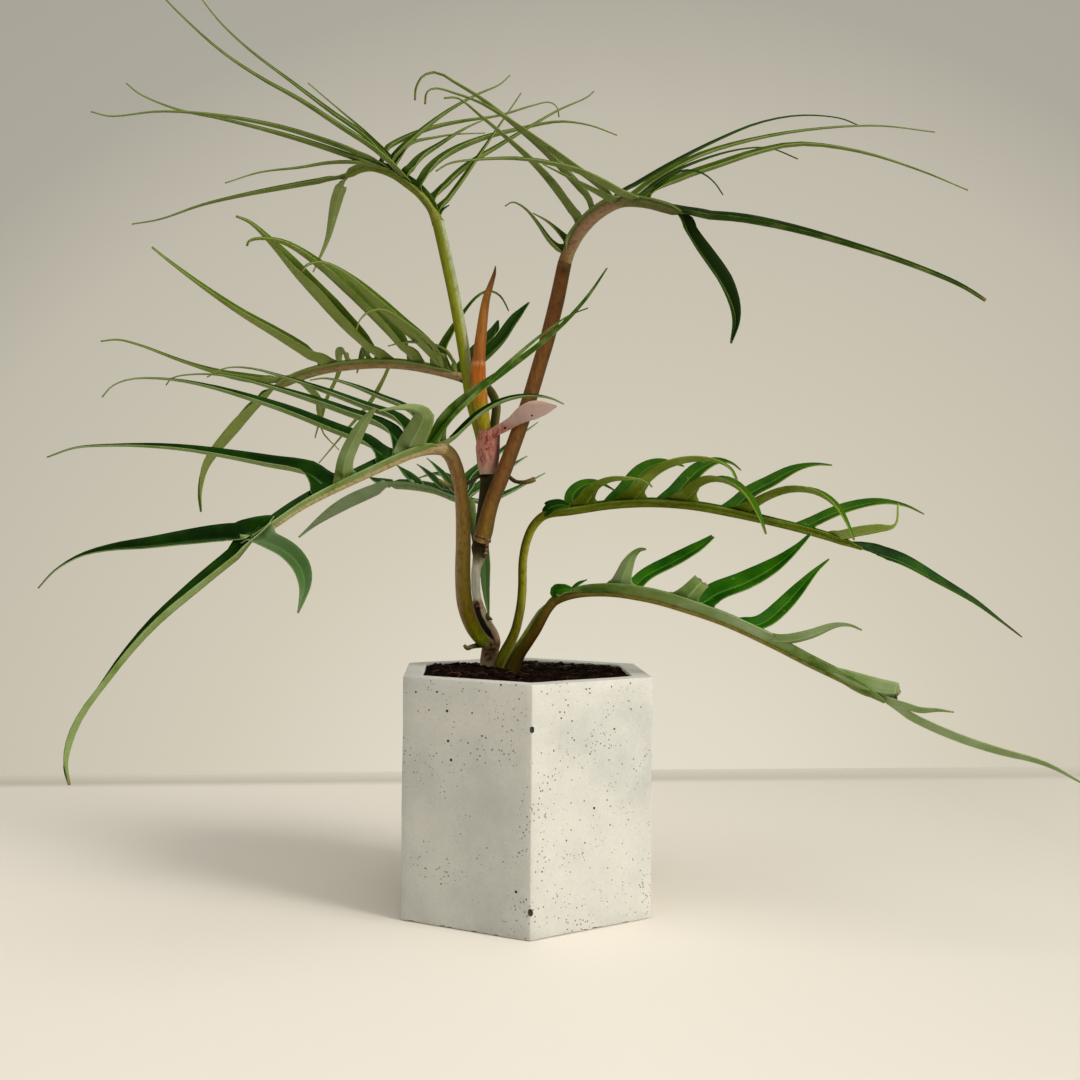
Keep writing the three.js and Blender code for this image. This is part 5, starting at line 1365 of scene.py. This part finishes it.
leaf(
    "lower_right", LOWER_RIGHT_PETIOLE, LOWER_RIGHT_RIB, LOWER_RIGHT_LEAFLETS, LOWER_RIGHT_HABIT,
    petiole_skin=([(0, (34, 32, 0)), (0.45, (58, 48, 8)), (0.7, (88, 64, 12)), (1, (118, 94, 28))],
                  (66, 74, 8), (34, 18, 2)),
    rib_skin=([(0, (88, 70, 16)), (0.12, (112, 100, 40)), (0.5, (146, 134, 62)),
               (1, (112, 132, 60))], (100, 90, 30), (124, 116, 56)),
    top=((20, 70, 0), (56, 108, 0), 0.36, 0.3, 0.15), underside=((108, 130, 64), (152, 168, 126), 0.6),
    slots=("petiole_olive", "leaf_rich"))
petiole_edge = rod(petiole_bar, *PETIOLE_EDGE, "lower_right_petiole_edge")
edge_skin = petiole_finish("petiole_edge_skin",
                           [(0, (70, 74, 10)), (0.5, (96, 104, 24)), (1, (112, 104, 60))],
                           (150, 150, 100), (80, 84, 20))
dress(petiole_edge, edge_skin, slot="petiole_olive")


# Back leaf: a small leaf behind the stem, on a short petiole from the knobbly node, spreading thin
# leaflets to both sides and one long one that hangs down behind the stem.
BACK_PETIOLE = ([
    (479, 556, -21), (478, 549, -26), (475, 532, -32), (472, 515, -40), (470, 503, -47),
], [8, 9, 9, 9, 9])
BACK_RIB = ([
    (470, 503, -47), (455, 497, -58), (435, 489, -72), (412, 485, -84), (390, 484, -95),
], [9, 11, 11, 11, 10])
BACK_LEAFLETS = [
    (12, [(390, 484, -95), (370, 492, -103), (345, 504, -111), (320, 520, -118), (299, 537, -123)],
     {"facing": (-0.1, 0.2, 0.97), "tones": (0.3, 0.3)}),
    (8, [(392, 484, -94), (380, 481, -102), (369, 477, -110)]),
    (8, [(420, 486, -80), (408, 474, -85), (397, 465, -90)]),
    (6, [(448, 494, -63), (436, 480, -66), (424, 469, -70), (417, 464, -73)]),
    (6, [(458, 498, -56), (448, 480, -60), (436, 466, -66), (427, 458, -70)]),
    (5, [(445, 493, -66), (450, 478, -80), (435, 473, -92), (415, 479, -102)]),
    (7, [(462, 500, -53), (466, 478, -60), (480, 464, -66), (492, 452, -74)]),
    (8, [(464, 501, -52), (474, 490, -58), (490, 478, -64), (512, 465, -70), (527, 456, -76)]),
    (5, [(466, 501, -50), (488, 500, -58), (510, 491, -64), (530, 481, -70), (545, 473, -74)]),
    (5, [(463, 500, -52), (480, 470, -64), (510, 443, -72), (538, 422, -80)]),
    (11, [(466, 502, -51), (480, 530, -52), (484.5, 560, -52), (486, 590, -50), (489, 617, -48)],
     {"fold": SHALLOW_FOLD, "tones": (0.6, 0.6), "profile": [0.5, 0.7, 0.95, 1, 1, 0.8, 0.5, 0.08]}),
]
BACK_HABIT = {
    "facing": (-0.1, -0.42, 0.9), "fold": DEEP_FOLD, "rib": 0.5, "flare": 0.6, "profile": FULL_TAPER,
}

leaf(
    "back", BACK_PETIOLE, BACK_RIB, BACK_LEAFLETS, BACK_HABIT,
    petiole_skin=([(0, (60, 66, 24)), (1, (80, 104, 48))], (50, 56, 16), (104, 110, 60)),
    rib_skin=([(0, (128, 144, 84)), (1, (136, 152, 104))], (118, 136, 78), (142, 156, 108)),
    top=((34, 72, 16), (76, 106, 52), 0.42), underside=((110, 132, 86), (136, 152, 116), 0.62),
    slots=("petiole_olive", "leaf_mid"))
dropped(stem_bar, root_bar, spike_bar, petiole_bar, rib_bar, *blade_blanks.values())


# Studio: a pale cream table, turned a little, with painted shade darkening it towards the right and a soft
# grey band of painted shade along its far edge, which shows above the pot's foot; a plain warm-grey wall
# well behind it that glows with painted light, brightest low on the right; a broad soft lamp on the right
# and weak cool light from the left and above.
TABLE_SIZE = 3
TABLE_THICKNESS = 0.03
TABLE_EDGE = 0.317
TABLE_SHADE_LINE = 0.281
TABLE_TURN = math.radians(5.2)
TABLE_ROUND = 2 * MM
TABLE_GAP = 0.2 * MM
WALL_DISTANCE = 2.2
WALL_SIZE = 6
WALL_GLOW = (0.15, -0.62)
WALL_GLOW_REACH = 2.4
# each lamp's name, place, what it points at, size, power and colour
LAMPS = [
    ("key_lamp", (1.9, -1.15, 1.1), (0, 0, 0.14), 1.05, 54, (1, 0.975, 0.93)),
    ("fill_lamp", (-1.3, -1.1, 0.8), (0, 0, 0.15), 1.4, 6, (0.93, 0.97, 1)),
    ("top_lamp", (0.1, -0.3, 1.6), (0, 0, 0), 1.4, 11, (1, 0.98, 0.95)),
]
AIR_COLOUR = (225, 222, 214)
AIR_STRENGTH = 0.35

table_middle = Vector((0, TABLE_EDGE - TABLE_SIZE / 2, -TABLE_THICKNESS / 2 - TABLE_GAP))
bpy.ops.mesh.primitive_cube_add(
    size=1, scale=(TABLE_SIZE, TABLE_SIZE, TABLE_THICKNESS), rotation=(0, 0, TABLE_TURN),
    location=Matrix.Rotation(TABLE_TURN, 3, "Z") @ table_middle)
table = bpy.context.object
settle(table, "studio_table")
finish_with(table, "BEVEL", width=TABLE_ROUND, segments=3)
bpy.ops.mesh.primitive_plane_add(
    size=WALL_SIZE, location=(0, WALL_DISTANCE, 0), rotation=(math.pi / 2, 0, 0))
wall = bpy.context.object
settle(wall, "studio_wall")
table_finish = Finish("table_paint_and_shade", Roughness=0.9)
squared = table_finish.node("Mapping", Vector=table_finish.coordinates.outputs["Object"],
                            Rotation=(0, 0, -TABLE_TURN))
parts = table_finish.node("SeparateXYZ", Vector=squared.outputs[0])
# painted shade: a soft grey band across the table just before its far edge
painted_edge_shade = table_finish.ramp(parts.outputs[1], (TABLE_SHADE_LINE - 0.015, 0.0), (TABLE_SHADE_LINE, 0.75),
                              (TABLE_EDGE, 0.15))
# painted shade: the table is darker towards its right, which evens out the key lamp's light there
shaded_right = table_finish.ramp(parts.outputs[0], (0.02, paint(230, 223, 211)), (0.3, paint(208, 203, 191)))
table_finish.coat(table_finish.mix(painted_edge_shade, shaded_right, paint(186, 181, 164)))
table.data.materials.append(table_finish.material)
# painted light: the wall glows by itself, brightest low and a little right, darker further away
wall_finish = Finish("wall_painted_glow", Roughness=0.95, Base_Color=paint(30, 30, 30), Emission_Strength=1.0)
from_glow = wall_finish.node("Mapping", Vector=wall_finish.coordinates.outputs["Object"],
                             Location=(-WALL_GLOW[0], -WALL_DISTANCE, -WALL_GLOW[1]))
distance = wall_finish.node("VectorMath", {"operation": "LENGTH"}, slot_0=from_glow.outputs[0])
wall_finish.set(wall_finish.shader, {"Emission Color": wall_finish.ramp(
    wall_finish.math("DIVIDE", distance.outputs["Value"], WALL_GLOW_REACH),
    (0.0, paint(230, 223, 205)), (0.2, paint(222, 215, 197)), (0.38, paint(208, 201, 182)),
    (0.55, paint(199, 192, 175)), (0.7, paint(190, 184, 169)), (0.82, paint(170, 166, 153)),
    (1.0, paint(165, 161, 149)))})
wall.data.materials.append(wall_finish.material)

for name, spot, target, size, power, colour in LAMPS:
    light = bpy.data.lights.new(name, "AREA")
    light.shape, light.size = "DISK", size
    light.energy, light.color = power, colour
    holder = bpy.data.objects.new(name, light)
    holder.location = spot
    holder.rotation_euler = (Vector(target) - Vector(spot)).to_track_quat("-Z", "Y").to_euler()
    bpy.context.collection.objects.link(holder)
world = bpy.data.worlds.new("studio_air")
world.use_nodes = True
background = world.node_tree.nodes["Background"].inputs
background["Color"].default_value = paint(*AIR_COLOUR)
background["Strength"].default_value = AIR_STRENGTH
bpy.context.scene.world = world
